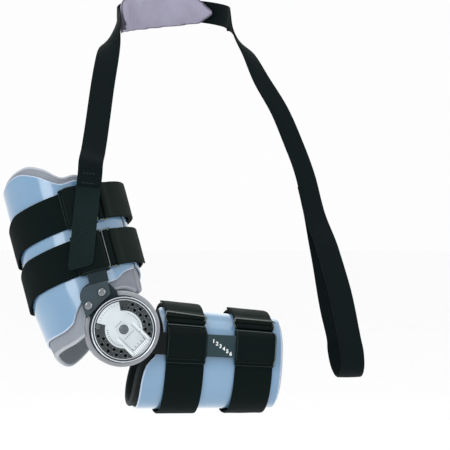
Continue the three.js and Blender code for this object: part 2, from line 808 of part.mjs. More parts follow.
function upperBarGeometry() {
  const root = UPPER_BAR_BEND - BAR_ROOT_BELOW_BEND;
  const head = toSolid(plate(tabShape(TAB_EDGE, root + BAR_OVERLAP), BAR_BACK - BAR_THICK, BAR_BACK));
  const half = UPPER_BAR_WIDTH / 2;
  const corners = [[-half, -BAR_THICK], [half, -BAR_THICK], [half, 0], [-half, 0]];
  const rows = [root, UPPER_BAR_BEND, UPPER_BAR_TOP].map((along) => corners.map(([across, lift]) => {
    const spot = barPoint(along, UPPER_BAR_OFFSET + across);
    return new THREE.Vector3(spot.x, BAR_BACK + lift + barSetBack(along), spot.y);
  }));
  const strip = toSolid(skin(rows, ribbonCap(corners.length)));
  const bored = head.add(strip).subtract(wasm.Manifold.union(rivetHoles(BAR_BACK - BAR_THICK, BAR_BACK)));
  return fromSolid(bored);
}

function hingePlate() {
  const disc = toSolid(plate(circleShape(BASE_DISC_RADIUS, 64), BASE_PLATE_FRONT, BASE_PLATE_BACK));
  const neck = UPPER_BAR_BEND - PLATE_NECK_BELOW_BEND;
  const outline = tabShape(ARM_ROOT_SHARE * BASE_DISC_RADIUS, neck);
  const tab = toSolid(plate(outline, BASE_PLATE_FRONT, BASE_PLATE_BACK));
  const cuts = rivetHoles(BASE_PLATE_FRONT, BASE_PLATE_BACK);
  cuts.push(roundHole(PIVOT_RADIUS + GAP, 0, 0, BASE_PLATE_FRONT, BASE_PLATE_BACK, 20));
  for (const pin of STOP_PINS) {
    const spot = polar(pin.radius, pin.angle);
    cuts.push(roundHole(STOP_PIN_RADIUS + GAP, spot.x, spot.y, BASE_PLATE_FRONT, BASE_PLATE_BACK));
  }
  return fromSolid(disc.add(tab).subtract(wasm.Manifold.union(cuts)));
}

function arcSlot(radius, from, to, halfWidth) {
  const shape = new THREE.Shape();
  shape.absarc(0, 0, radius + halfWidth, radians(from), radians(to), false);
  const end = polar(radius, to);
  shape.absarc(end.x, end.y, halfWidth, radians(to), radians(to + 180), false);
  shape.absarc(0, 0, radius - halfWidth, radians(to), radians(from), true);
  const start = polar(radius, from);
  shape.absarc(start.x, start.y, halfWidth, radians(from + 180), radians(from + 360), false);
  return shape;
}

function slotCutter(pin) {
  const towardFlexion = pin.pin === "flexion" ? MORE_FLEXION : MORE_FLEXION + SLOT_OVERRUN;
  const towardExtension = pin.pin === "extension" ? MORE_EXTENSION : MORE_EXTENSION + SLOT_OVERRUN;
  const [from, to] = [pin.angle - towardFlexion, pin.angle + towardExtension];
  const shape = arcSlot(pin.radius, from, to, STOP_PIN_RADIUS + GAP);
  return toSolid(plate(shape, FOREARM_PLATE_FRONT - CUT_MARGIN, FOREARM_PLATE_BACK + CUT_MARGIN, 8));
}

function forearmBarGeometry() {
  const slope = radians(FOREARM_SLOPE);
  const disc = toSolid(plate(circleShape(FOREARM_DISC_RADIUS, 64), FOREARM_PLATE_FRONT, FOREARM_PLATE_BACK));
  const start = ARM_ROOT_SHARE * FOREARM_DISC_RADIUS;
  const half = FOREARM_BAR_WIDTH / 2;
  const corner = FOREARM_BAR_CORNER;
  const shape = new THREE.Shape();
  const put = (along, across) => [
    Math.cos(slope) * along - Math.sin(slope) * across, Math.sin(slope) * along + Math.cos(slope) * across];
  shape.moveTo(...put(start, FOREARM_BAR_OFFSET - half));
  shape.lineTo(...put(FOREARM_BAR_END - corner, FOREARM_BAR_OFFSET - half));
  shape.lineTo(...put(FOREARM_BAR_END, FOREARM_BAR_OFFSET - half + corner));
  shape.lineTo(...put(FOREARM_BAR_END, FOREARM_BAR_OFFSET + half - corner));
  shape.lineTo(...put(FOREARM_BAR_END - corner, FOREARM_BAR_OFFSET + half));
  shape.lineTo(...put(start, FOREARM_BAR_OFFSET + half));
  shape.closePath();
  const arm = toSolid(plate(shape, FOREARM_PLATE_FRONT, FOREARM_PLATE_BACK));
  const cuts = [roundHole(PIVOT_RADIUS + GAP, 0, 0, FOREARM_PLATE_FRONT, FOREARM_PLATE_BACK, 20)];
  cuts.push(...STOP_PINS.map(slotCutter));
  return fromSolid(disc.add(arm).subtract(wasm.Manifold.union(cuts)));
}

// Dial

function dialDisc() {
  const disc = toSolid(plate(circleShape(DIAL_RADIUS, 64), DIAL_FRONT, DIAL_BACK));
  const cuts = [roundHole(PIVOT_RADIUS + GAP, 0, 0, DIAL_FRONT, DIAL_BACK, 20)];
  for (const row of HOLE_ROWS) {
    for (let i = 0; i < row.count; i += 1) {
      const spot = polar(row.radius, row.start + i * HOLE_PITCH);
      cuts.push(roundHole(HOLE_RADIUS, spot.x, spot.y, DIAL_FRONT, DIAL_BACK, 10));
    }
  }
  for (const pin of STOP_PINS) {
    const spot = polar(pin.radius, pin.angle);
    cuts.push(roundHole(STOP_PIN_RADIUS + GAP, spot.x, spot.y, DIAL_FRONT, DIAL_BACK));
  }
  return fromSolid(disc.subtract(wasm.Manifold.union(cuts)));
}

function dialLabel() {
  const layer = (shape) => toSolid(plate(shape, LABEL_FRONT, LABEL_BACK));
  const edge = BEZEL_INNER - GAP;
  const sector = new THREE.Shape();
  sector.moveTo(0, 0);
  sector.lineTo(...polar(LABEL_SECTOR_RADIUS, LABEL_SECTOR_START).toArray());
  sector.absarc(0, 0, LABEL_SECTOR_RADIUS, radians(LABEL_SECTOR_START), radians(LABEL_SECTOR_END), false);
  sector.closePath();
  const half = LABEL_TONGUE_WIDTH / 2;
  const turn = radians(LABEL_TONGUE_ANGLE);
  const tongue = new THREE.Shape();
  const put = (along, across) => [
    Math.cos(turn) * along - Math.sin(turn) * across, Math.sin(turn) * along + Math.cos(turn) * across];
  tongue.moveTo(...put(PIVOT_RADIUS, -half));
  tongue.lineTo(...put(BEZEL_OUTER, -half));
  tongue.lineTo(...put(BEZEL_OUTER, half));
  tongue.lineTo(...put(PIVOT_RADIUS, half));
  tongue.closePath();
  const trimmed = layer(tongue).intersect(layer(circleShape(edge, 64)));
  const whole = layer(circleShape(LABEL_DISC_RADIUS, 48)).add(layer(sector)).add(trimmed);
  return fromSolid(whole.subtract(roundHole(PIVOT_RADIUS + GAP, 0, 0, LABEL_FRONT, LABEL_BACK, 20)));
}

function dialBezel() {
  const back = LABEL_BACK;
  const front = back - BEZEL_HEIGHT;
  return turned([
    [BEZEL_INNER, back], [BEZEL_OUTER, back], [BEZEL_OUTER, front + BEZEL_CHAMFER],
    [BEZEL_OUTER - BEZEL_CHAMFER, front], [BEZEL_INNER + BEZEL_CHAMFER, front],
    [BEZEL_INNER, front + BEZEL_CHAMFER], [BEZEL_INNER, back],
  ], 52);
}

function pivotRivet() {
  const seat = LABEL_FRONT - GAP;
  const back = PAD_FRONT + PIVOT_FLANGE_THICK;
  return turned([
    [0, seat - PIVOT_HEAD_HEIGHT], [PIVOT_HEAD_RADIUS * 0.5, seat - PIVOT_HEAD_HEIGHT * 0.85],
    [PIVOT_HEAD_RADIUS * 0.88, seat - PIVOT_HEAD_HEIGHT * 0.45], [PIVOT_HEAD_RADIUS, seat],
    [PIVOT_RADIUS, seat], [PIVOT_RADIUS, PAD_FRONT], [PIVOT_FLANGE_RADIUS, PAD_FRONT],
    [PIVOT_FLANGE_RADIUS, back], [0, back],
  ], 20);
}

function stopPin(pin) {
  const seat = DIAL_FRONT - GAP;
  const tip = FOREARM_PLATE_BACK - GAP;
  const geometry = turned([
    [0, seat - STOP_PIN_HEAD_HEIGHT], [STOP_PIN_HEAD_RADIUS * 0.85, seat - STOP_PIN_HEAD_HEIGHT],
    [STOP_PIN_HEAD_RADIUS, seat - STOP_PIN_HEAD_HEIGHT * 0.6], [STOP_PIN_HEAD_RADIUS, seat],
    [STOP_PIN_RADIUS, seat], [STOP_PIN_RADIUS, tip], [0, tip],
  ], 12);
  const spot = polar(pin.radius, pin.angle);
  geometry.translate(spot.x, 0, spot.y);
  return geometry;
}

function tabRivet(spot) {
  const seat = BAR_BACK - BAR_THICK - GAP;
  const geometry = turned([
    [0, seat - RIVET_HEAD_HEIGHT], [RIVET_HEAD_RADIUS * 0.5, seat - RIVET_HEAD_HEIGHT * 0.86],
    [RIVET_HEAD_RADIUS * 0.87, seat - RIVET_HEAD_HEIGHT * 0.48], [RIVET_HEAD_RADIUS, seat],
    [RIVET_RADIUS, seat], [RIVET_RADIUS, BASE_PLATE_BACK], [0, BASE_PLATE_BACK],
  ], 16);
  geometry.translate(spot.x, 0, spot.y);
  return geometry;
}

function hingePad() {
  const recess = PIVOT_FLANGE_RADIUS + GAP;
  const floor = PAD_FRONT + PIVOT_FLANGE_THICK + GAP;
  const back = PAD_FRONT + PAD_THICK;
  const rows = [[0, floor], [recess, floor], [recess, PAD_FRONT]];
  const steps = 3;
  for (const [edge, sign] of [[PAD_FRONT, 1], [back, -1]]) {
    for (let i = 0; i <= steps; i += 1) {
      const turn = (Math.PI / 2) * (sign > 0 ? i / steps : 1 - i / steps);
      rows.push([
        PAD_RADIUS - PAD_ROUNDING + PAD_ROUNDING * Math.sin(turn),
        edge + sign * (PAD_ROUNDING - PAD_ROUNDING * Math.cos(turn))]);
    }
  }
  rows.push([0, back]);
  return turned(rows, 32);
}

// Sling: webbing from the hook tab on the upper sleeves, round the neck and down to a loop for the wrist

const barMap = upperBarInCuff();

// A point just proud of the upper sleeves, at a distance along the upper cuff and a place across it
function overSleeves(distance, across, lift) {
  const front = barMap.front(distance) + GAP + SLEEVE_WALL + GAP;
  return upper.place(distance, barMap.centre(distance) + across, front + lift);
}

// The hook tab's middle line, and the length of its top that is sewn under the webbing's end
const TAB_LOW = { distance: 55, across: -15 };
const TAB_HIGH = { distance: 147, across: 18.8 };
const TAB_SEWN = 13;
const STRAP_LIFT = HOOK_TAB_RIB + HOOK_TAB_THICK + GAP + SLING_THICK / 2;

// The pad and the webbing on it stand highest behind the neck
const PAD_FROM = 196;
const PAD_TO = 40;
const PAD_TOP_TURN = 88;
const PAD_RISE = 14;
const PAD_FALL = 22;

function padRise(turn) {
  return PAD_RISE - PAD_FALL * ((turn - PAD_TOP_TURN) / (180 - PAD_TOP_TURN)) ** 2;
}

// Stations of the webbing: where its middle runs and which way its face looks.
// Those round the neck and the wrist come from the sizes of the neck and the wrist.
function slingStations() {
  const tabTop = overSleeves(TAB_HIGH.distance, TAB_HIGH.across, STRAP_LIFT);
  const sewn = TAB_SEWN / (TAB_HIGH.distance - TAB_LOW.distance);
  const sewnAcross = THREE.MathUtils.lerp(TAB_HIGH.across, TAB_LOW.across, sewn);
  const tabBack = overSleeves(TAB_HIGH.distance - TAB_SEWN, sewnAcross, STRAP_LIFT);
  const front = upper.out.clone();
  const stations = [
    { at: tabBack, face: front },
    { at: tabTop, face: front },
    { at: overSleeves(TAB_HIGH.distance + 9, TAB_HIGH.across + 3, STRAP_LIFT + 1.2), face: front },
  ];
  const free = (x, y, z, face) => stations.push({
    at: new THREE.Vector3(x, y, z), face: new THREE.Vector3(...face).normalize() });
  // Up the front of the shoulder
  free(-25, 34, 181, [-0.05, -1, 0.3]);
  free(-17.2, 60, 213, [-0.05, -1, 0.4]);
  free(-10, 80, 243, [-0.1, -1, 0.45]);
  free(-3.3, 100, 272, [-0.15, -1, 0.6]);
  free(2.6, 119, 292, [-0.4, -0.8, 0.6]);
  free(11, 145, 312, [-0.85, -0.25, 0.4]);
  // Round the neck, over the pad as far as its end
  const padLift = NECK_PAD_THICK + 2 * GAP + SLING_THICK / 2;
  const round = [];
  const overPad = 12;
  for (let i = 0; i <= overPad; i += 1) {
    const turn = THREE.MathUtils.lerp(180, PAD_TO - 2, i / overPad);
    round.push({ turn, rise: padRise(turn), lift: padLift });
  }
  round.push({ turn: 15, rise: 1, lift: padLift * 0.5 });
  round.push({ turn: -4, rise: -7, lift: GAP + SLING_THICK / 2 });
  for (const { turn, rise, lift } of round) {
    const spot = polar(NECK_RADIUS + lift, turn);
    const face = polar(1, turn);
    free(NECK.x + spot.x, NECK.y + spot.y, NECK.z + rise, [face.x, face.y, 0]);
  }
  // Down over the collar bone and the chest
  free(157, 188, 314, [0.9, -0.35, 0.35]);
  free(168, 178, 296, [0.65, -0.65, 0.45]);
  free(181, 166, 266, [0.45, -0.85, 0.3]);
  free(199, 153, 230, [0.4, -0.9, 0.15]);
  free(213, 144, 193, [0.35, -0.93, 0.05]);
  free(222, 132, 159, [0.3, -0.95, 0.1]);
  free(229, 116, 116, [0.15, -0.97, 0.25]);
  // Down the near side of the forearm, under the wrist and up its far side
  const out = WRIST_HALF_DEPTH + GAP + SLING_THICK / 2;
  const down = WRIST_HALF_HEIGHT + GAP + SLING_THICK / 2;
  free(235.5, 84, 78, [0.05, -0.95, 0.3]);
  free(240.5, 57, 38, [0, -0.95, 0.35]);
  for (const turn of [150, 180, 215, 245, 270, 295, 325, 360, 385]) {
    const y = WRIST.y + out * Math.cos(radians(turn));
    const z = WRIST.z + down * Math.sin(radians(turn));
    const lean = 0.12 * (z - WRIST.z);
    free(WRIST.x - lean, y, z, [0, Math.cos(radians(turn)), Math.sin(radians(turn))]);
  }
  free(241, 88, 12, [0, 1, 0]);
  free(238, 100, 44, [0, 1, -0.1]);
  free(235, 113, 78, [0, 1, -0.15]);
  // The end lies flat against the back of the run above the loop
  const seam = SLING_THICK + GAP;
  free(230, 119 + seam, 116, [-0.15, 0.97, -0.25]);
  free(225, 130 + seam, 147, [-0.25, 0.95, -0.15]);
  return stations;
}

function webbing(stations, width, thickness, steps) {
  const path = new THREE.CatmullRomCurve3(stations.map((s) => s.at), false, "centripetal");
  const faces = new THREE.CatmullRomCurve3(stations.map((s) => s.face), false, "catmullrom", 0.5);
  const corners = [[-0.5, -0.5], [0.5, -0.5], [0.5, 0.5], [-0.5, 0.5]];
  const rows = [];
  for (let i = 0; i <= steps; i += 1) {
    const t = i / steps;
    const middle = path.getPoint(t);
    const along = path.getTangent(t).normalize();
    const face = faces.getPoint(t);
    face.addScaledVector(along, -face.dot(along)).normalize();
    const side = new THREE.Vector3().crossVectors(along, face);
    rows.push(corners.map(([x, y]) => middle.clone()
      .addScaledVector(side, x * width)
      .addScaledVector(face, y * thickness)));
  }
  return skin(rows, ribbonCap(corners.length));
}

// The hook tab: a strip with cross ribs, flat against the fronts of both sleeves
function hookTab() {
  const rows = [];
  const corners = [[-0.5, 0], [0.5, 0], [0.5, 1], [-0.5, 1]];
  const halves = HOOK_TAB_RIBS * 2;
  for (let i = 0; i <= halves; i += 1) {
    const t = i / halves;
    const distance = THREE.MathUtils.lerp(TAB_LOW.distance, TAB_HIGH.distance, t);
    const across = THREE.MathUtils.lerp(TAB_LOW.across, TAB_HIGH.across, t);
    const lift = HOOK_TAB_THICK - (i % 2 === 0 ? HOOK_TAB_RIB : 0);
    rows.push(corners.map(([x, y]) => overSleeves(distance, across + x * HOOK_TAB_WIDTH, y * lift)));
  }
  return skin(rows, ribbonCap(corners.length));
}

// The neck pad: a soft band between the neck and the webbing
function neckPad() {
  const turns = 16;
  const sides = 12;
  const middleRadius = NECK_RADIUS + GAP + NECK_PAD_THICK / 2;
  const rows = [];
  const flat = circleShape(1, sides).getPoints().slice(0, sides);
  for (let i = 0; i <= turns; i += 1) {
    const t = i / turns;
    const turn = THREE.MathUtils.lerp(PAD_FROM, PAD_TO, t);
    const centre = polar(middleRadius, turn);
    const rise = padRise(turn);
    const ends = Math.sqrt(Math.min(1, NECK_PAD_END + NECK_PAD_TAPER * t * (1 - t)));
    const outward = polar(1, turn);
    rows.push(flat.map((p) => {
      const swell = Math.sign(p.x) * Math.abs(p.x) ** NECK_PAD_EDGE * (NECK_PAD_THICK / 2) * ends;
      const height = Math.sign(p.y) * Math.abs(p.y) ** NECK_PAD_CROWN * (NECK_PAD_WIDTH / 2) * ends;
      return new THREE.Vector3(
        NECK.x + centre.x + outward.x * swell, NECK.y + centre.y + outward.y * swell, NECK.z + rise + height);
    }));
  }
  return skin(rows, flatCap(flat));
}

// Materials

function finish(color, roughness, metalness = 0) {
  return new THREE.MeshStandardMaterial({ color, roughness, metalness });
}

const shellPlastic = () => finish(0x8cacd0, 0.22);
const linerFoam = () => finish(0x9aa0a8, 0.9);
const blackFabric = () => finish(0x0b1a1a, 0.85);
const darkPlastic = () => finish(0x37464b, 0.45);
const brightMetal = () => finish(0xc8ccd0, 0.25, 1);
const dialPlastic = () => finish(0x2c3438, 0.4);

// Assembly

const seat = upper.place(SEAT_HEIGHT, 0, 0);
const brace = new THREE.Group();
brace.position.copy(seat).negate();

function add(name, geometry, material) {
  const mesh = new THREE.Mesh(geometry, material);
  mesh.name = name;
  brace.add(mesh);
}

const noSag = () => 0;
// The forearm straps hang a little slack under the arm
const underArmSag = (angle) => {
  const under = Math.cos(radians(angle - STRAP_SAG_ANGLE));
  return under > 0 ? STRAP_SAG * under * under : 0;
};

add("upper_shell", upperShell(), shellPlastic());
add("upper_liner", upperLiner(), linerFoam());
add("upper_bar", upperBarGeometry(), darkPlastic());
add("hinge_plate", hingePlate(), darkPlastic());
add("dial_disc", dialDisc(), dialPlastic());
add("dial_label", dialLabel(), finish(0xd2dadc, 0.35));
add("dial_bezel", dialBezel(), finish(0xd8dee2, 0.15));
add("centre_rivet", pivotRivet(), brightMetal());
STOP_PINS.forEach((pin, i) => add(`stop_pin_${i + 1}`, stopPin(pin), dialPlastic()));
rivetPlaces.forEach((spot, i) => add(`tab_rivet_${i + 1}`, tabRivet(spot), brightMetal()));
add("hinge_pad", hingePad(), linerFoam());

const tabNeck = barMap.distanceAt(UPPER_BAR_BEND - BAR_ROOT_BELOW_BEND + BAR_OVERLAP);

for (const row of UPPER_STRAPS) {
  const run = new StrapRun({
    cuff: upper,
    row,
    centre: tabNeck + SLEEVE_ABOVE_TAB + row.sleeveWidth / 2 + row.step * UPPER_STRAP_PITCH,
    width: UPPER_STRAP_WIDTH,
    meanRadius: (UPPER_HALF_ACROSS + UPPER_HALF_OUT) / 2 + FOLD_LEVEL,
    sag: noSag,
  });
  add(`upper_strap_${row.name}`, strap(run), blackFabric());
  add(`upper_buckle_${row.name}`, buckle(run), darkPlastic());
  add(`upper_sleeve_${row.name}`, sleeve(run, barMap), blackFabric());
}

add("forearm_bar", forearmBarGeometry(), darkPlastic());
add("forearm_shell", forearmShell(), shellPlastic());
add("forearm_liner", forearmLiner(), linerFoam());

for (const row of FOREARM_STRAPS) {
  const centre = row.share * FOREARM_LENGTH;
  const run = new StrapRun({
    cuff: forearm,
    row,
    centre,
    width: FOREARM_STRAP_WIDTH,
    meanRadius: (forearm.halfAcross(centre) + FOREARM_HALF_OUT) / 2 + FOLD_LEVEL,
    sag: underArmSag,
  });
  add(`forearm_strap_${row.name}`, strap(run), blackFabric());
  add(`forearm_buckle_${row.name}`, buckle(run), darkPlastic());
  add(`forearm_sleeve_${row.name}`, sleeve(run, forearmBarInCuff), blackFabric());
}

add("sling_strap", webbing(slingStations(), SLING_WIDTH, SLING_THICK, 100), blackFabric());
add("sling_tab", hookTab(), finish(0x1b2c2c, 0.8));
add("neck_pad", neckPad(), finish(0xaaa8bb, 0.95));

export default brace;
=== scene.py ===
import math

import bmesh
import bpy
import numpy as np
from mathutils import Matrix, Vector


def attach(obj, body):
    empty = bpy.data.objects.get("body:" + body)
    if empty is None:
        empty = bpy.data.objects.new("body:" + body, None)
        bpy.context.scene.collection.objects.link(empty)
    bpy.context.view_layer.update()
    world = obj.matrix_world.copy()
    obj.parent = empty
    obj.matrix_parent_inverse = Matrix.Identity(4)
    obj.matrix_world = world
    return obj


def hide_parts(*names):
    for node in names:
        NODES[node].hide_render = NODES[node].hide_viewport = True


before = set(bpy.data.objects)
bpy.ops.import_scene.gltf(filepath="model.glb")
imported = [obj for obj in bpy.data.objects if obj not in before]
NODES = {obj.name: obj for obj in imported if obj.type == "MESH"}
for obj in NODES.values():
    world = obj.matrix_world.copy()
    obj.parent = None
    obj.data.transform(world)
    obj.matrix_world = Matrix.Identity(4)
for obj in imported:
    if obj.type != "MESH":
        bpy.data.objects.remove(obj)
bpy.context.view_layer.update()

# Sizes shared with the solids
GAP = 0.3
SHELL_WALL = 2.5
LINER_WALL = 5.0
STRAP_THICK = 2.2
SLEEVE_WALL = 1.6
BAR_THICK = 2.5
BAR_BACK = -3.6
PLATE_BACK = 3.0
UPPER_TILT = 13.5
UPPER_LEAN = 14.0
UPPER_CENTRE = -19.0
UPPER_FRONT = -7.5
UPPER_HALF = (58.5, 58.0)
UPPER_LENGTH = 170.0
UPPER_SLIT = (30.0, 384.0)
UPPER_BAR = {"width": 19.5, "offset": -12.4, "bend": 57.0}
FOREARM_SLOPE = -3.5
FOREARM_CENTRE = -29.7
FOREARM_HALF = (56.0, 48.0, 49.0)
FOREARM_SQUARE = 2.4
FOREARM_LENGTH = 168.5
FOREARM_OPEN = (14.0, 302.0)
FOREARM_BAR = {"width": 22.6, "offset": -12.5}
SEAT_HEIGHT = 76.0
BUCKLE_ROD = 1.6
BUCKLE_PITCH = 9.0
STRAP_SAG = 2.6
STRAP_FALLS = (150.0, 192.0)
STRAP_CLIMBS = (255.0, 330.0)
SLING_WIDTH = 25.0
SLING_THICK = 1.8
NECK = np.array([92.0, 200.0, 340.0])
NECK_RADIUS = 57.0
PAD_THICK = 9.0
PAD_WIDTH = 46.0
PAD_TURN = (196.0, 40.0)
WRIST = np.array([247.0, 55.0, -29.0])
WRIST_HALF = (26.0, 25.0)

# Edges of the cuffs: angle round the cuff against height, as a share of its length
UPPER_SHELL_TOP = [(30, .79), (52, .81), (78, .865), (96, .865), (117, .95), (138, 1.0), (175, .97),
                   (230, .92), (300, .84), (384, .79)]
UPPER_LINER_TOP = [(30, .815), (52, .84), (76, .905), (93, .91), (110, .99), (130, 1.035), (180, .995),
                   (230, .95), (300, .87), (384, .815)]
UPPER_SHELL_BOTTOM = [(30, .29), (56, .245), (90, .06), (118, .03), (135, .0), (175, -.005), (225, -.04),
                      (270, .02), (320, .18), (384, .3)]
UPPER_LINER_BOTTOM = [(30, .13), (60, .15), (90, .0), (122, -.075), (150, -.09), (190, -.1), (222, -.14),
                      (250, -.09), (300, .08), (340, .165), (384, .15)]
FOREARM_SHELL_ELBOW = [(14, .25), (60, .22), (100, .155), (115, .143), (172, .147), (240, .17), (302, .23)]
FOREARM_LINER_ELBOW = [(14, .237), (60, .2), (95, .12), (122, .101), (172, .103), (240, .13), (302, .215)]


def rad(degrees):
    return degrees * math.pi / 180.0


def smoothstep(x, a, b):
    t = np.clip((np.asarray(x, float) - a) / (b - a), 0, 1)
    return t * t * (3 - 2 * t)


def edge_curve(table, angle):
    """A smooth curve through an edge table, read at many angles"""
    a = np.array([row[0] for row in table], float)
    s = np.array([row[1] for row in table], float)
    angle = np.atleast_1d(np.asarray(angle, float))
    i = np.clip(np.searchsorted(a, angle, side="left") - 1, 0, len(a) - 2)
    before, after = np.maximum(i - 1, 0), np.minimum(i + 2, len(a) - 1)
    span = a[i + 1] - a[i]
    slope_a = (s[i + 1] - s[before]) / (a[i + 1] - a[before])
    slope_b = (s[after] - s[i]) / (a[after] - a[i])
    t = (angle - a[i]) / span
    bend = t * (1 - t)
    return (s[i] + (s[i + 1] - s[i]) * t * t * (3 - 2 * t)
            + bend * (slope_a * span * (1 - t) - slope_b * span * t))


class Cuff:
    def __init__(self, origin, along, across, out, half_across, half_out, square):
        self.origin, self.along, self.across, self.out = origin, along, across, out
        self.half_across, self.half_out, self.square = half_across, half_out, square

    def at(self, distance, angle, proud):
        distance, angle, proud = np.broadcast_arrays(
            np.asarray(distance, float), np.asarray(angle, float), np.asarray(proud, float))
        c, s = np.cos(np.radians(angle)), np.sin(np.radians(angle))
        power = 2.0 / self.square
        x = np.sign(c) * np.abs(c) ** power * (self.half_across(distance) + proud)
        y = np.sign(s) * np.abs(s) ** power * (self.half_out + proud)
        return self.place(distance, x, y)

    def place(self, distance, x, y):
        d, x, y = np.broadcast_arrays(np.asarray(distance, float), np.asarray(x, float), np.asarray(y, float))
        return self.origin + d[..., None] * self.along + x[..., None] * self.across + y[..., None] * self.out

    def leaves_circle(self, angle, proud, radius):
        """Distance along the axis where the wall at these angles leaves a circle round the hinge"""
        p = self.at(0.0, angle, proud)
        a = self.along[0] ** 2 + self.along[2] ** 2
        b = p[..., 0] * self.along[0] + p[..., 2] * self.along[2]
        c = p[..., 0] ** 2 + p[..., 2] ** 2 - radius ** 2
        root = b * b - a * c
        return np.where(root > 0, (-b + np.sqrt(np.maximum(root, 0))) / a, -1e6)


def upper_cuff():
    t, l = rad(UPPER_TILT), rad(UPPER_LEAN)
    along = np.array([-math.sin(t) * math.cos(l), math.sin(l), math.cos(t) * math.cos(l)])
    across = np.array([math.cos(t), 0.0, math.sin(t)])
    out = np.cross(across, along)
    out = out if out[1] < 0 else -out
    origin = across * UPPER_CENTRE
    origin[1] = UPPER_FRONT - out[1] * UPPER_HALF[1]

    def half_across(d):
        return UPPER_HALF[0] - 5.5 * np.maximum(0.2 * UPPER_LENGTH - d, 0) / (0.26 * UPPER_LENGTH)

    return Cuff(origin, along, across, out, half_across, UPPER_HALF[1], 2.0)


STRAP_OUTER = GAP + STRAP_THICK
SLEEVE_BASE = STRAP_OUTER + GAP


def forearm_cuff():
    s = rad(FOREARM_SLOPE)
    along = np.array([math.cos(s), 0.0, math.sin(s)])
    across = np.array([-math.sin(s), 0.0, math.cos(s)])
    out = np.array([0.0, -1.0, 0.0])
    origin = across * FOREARM_CENTRE
    origin[1] = PLATE_BACK + GAP + SLEEVE_WALL + SLEEVE_BASE + FOREARM_HALF[2]

    def half_across(d):
        return FOREARM_HALF[0] + (FOREARM_HALF[1] - FOREARM_HALF[0]) * d / FOREARM_LENGTH

    return Cuff(origin, along, across, out, half_across, FOREARM_HALF[2], FOREARM_SQUARE)


upper = upper_cuff()
forearm = forearm_cuff()
SEAT = upper.place(SEAT_HEIGHT, 0.0, 0.0)


def metres(points):
    return (np.asarray(points, float) - SEAT) * 0.001


# Mesh helpers

def unit(vectors):
    return vectors / np.linalg.norm(vectors, axis=-1, keepdims=True)


def reach_along(line):
    """How far along a line each of its points lies"""
    return np.concatenate([[0], np.cumsum(np.linalg.norm(np.diff(line, axis=0), axis=1))])


def corner_cut(from_end, corner):
    """How far an edge draws back near an end to round the corner"""
    return corner - np.sqrt(np.clip(corner ** 2 - (corner - np.minimum(from_end, corner)) ** 2, 0, None))


def link(obj):
    bpy.context.scene.collection.objects.link(obj)
    return obj


def new_object(name, verts, faces):
    mesh = bpy.data.meshes.new(name)
    mesh.from_pydata([tuple(v) for v in verts], [], faces)
    return link(bpy.data.objects.new(name, mesh))


def face_outwards(mesh):
    bm = bmesh.new()
    bm.from_mesh(mesh)
    bmesh.ops.recalc_face_normals(bm, faces=bm.faces)
    bm.to_mesh(mesh)
    bm.free()


def set_edge(mesh, values):
    """Writes the attribute that is 1 on a rim or a rounded edge"""
    attribute = mesh.attributes.new("edge", "FLOAT", "POINT")
    attribute.data.foreach_set("value", np.asarray(values, float).reshape(-1))


def make_object(name, verts, faces, smooth=True):
    obj = new_object(name, verts, faces)
    obj.data.validate()
    face_outwards(obj.data)
    if smooth:
        obj.data.shade_smooth()
    return obj


def tube_faces(base, rings, sides):
    """Faces of a capped tube whose rings of vertices follow one another from the vertex base"""
    faces = []
    for i in range(base, base + (rings - 1) * sides, sides):
        for j in range(sides):
            k = (j + 1) % sides
            faces.append((i + j, i + k, i + sides + k, i + sides + j))
    last = base + (rings - 1) * sides
    return faces + [tuple(range(base, base + sides))[::-1], tuple(range(last, last + sides))]


def grid_object(name, points, wrap_rows=False, edge=None, material=None):
    """A skin over closed rows of points, with lengths in metres as UVs and a material for each cell"""
    rows, columns = points.shape[:2]
    faces, cells = [], []
    for i in range(rows if wrap_rows else rows - 1):
        here, there = i * columns, ((i + 1) % rows) * columns
        for j in range(columns):
            k = (j + 1) % columns
            faces.append((here + j, here + k, there + k, there + j))
            cells.append((i, j))
    if not wrap_rows:
        last = (rows - 1) * columns
        faces += [tuple(range(columns))[::-1], tuple(range(last, last + columns))]
        cells += [(0, 0), (rows - 2, 0)]
    obj = new_object(name, metres(points).reshape(-1, 3), faces)
    mesh = obj.data
    steps = [np.linalg.norm(np.diff(points, axis=axis), axis=2).mean(1 - axis) for axis in (0, 1)]
    along, around = (np.concatenate([[0], np.cumsum(step)]) * 0.001 for step in steps)
    loops = np.zeros(len(mesh.loops), int)
    mesh.loops.foreach_get("vertex_index", loops)
    uv = mesh.uv_layers.new(name="UVMap")
    uv.data.foreach_set("uv", np.stack([along[loops // columns], around[loops % columns]], 1).ravel())
    if edge is not None:
        set_edge(mesh, edge)
    if material is not None:
        mesh.polygons.foreach_set("material_index", [int(material(i, j)) for i, j in cells])
    face_outwards(mesh)
    mesh.shade_smooth()
    return obj


def smooth_by_angle(obj, degrees):
    obj.data.shade_smooth()
    obj.data.set_sharp_from_angle(angle=rad(degrees))


def apply_modifiers(obj):
    graph = bpy.context.evaluated_depsgraph_get()
    mesh = bpy.data.meshes.new_from_object(obj.evaluated_get(graph))
    obj.modifiers.clear()
    old = obj.data
    obj.data = mesh
    bpy.data.meshes.remove(old)


def vertex_places(mesh):
    """The vertices of a mesh, in metres"""
    place = np.zeros(len(mesh.vertices) * 3)
    mesh.vertices.foreach_get("co", place)
    return place.reshape(-1, 3)


def value_noise(points, scale, seed):
    """Smooth noise from a few seeded sine waves, about -1 to 1"""
    rng = np.random.default_rng(seed)
    total = np.zeros(points.shape[:-1])
    for _ in range(7):
        direction = unit(rng.normal(size=3))
        waves = points @ direction * (2 * math.pi / scale) * rng.uniform(0.6, 1.6)
        total += np.sin(waves + rng.uniform(0, 6.28))
    return total / 4.0


# Materials: tones are sRGB from 0 to 255, and lengths are in metres

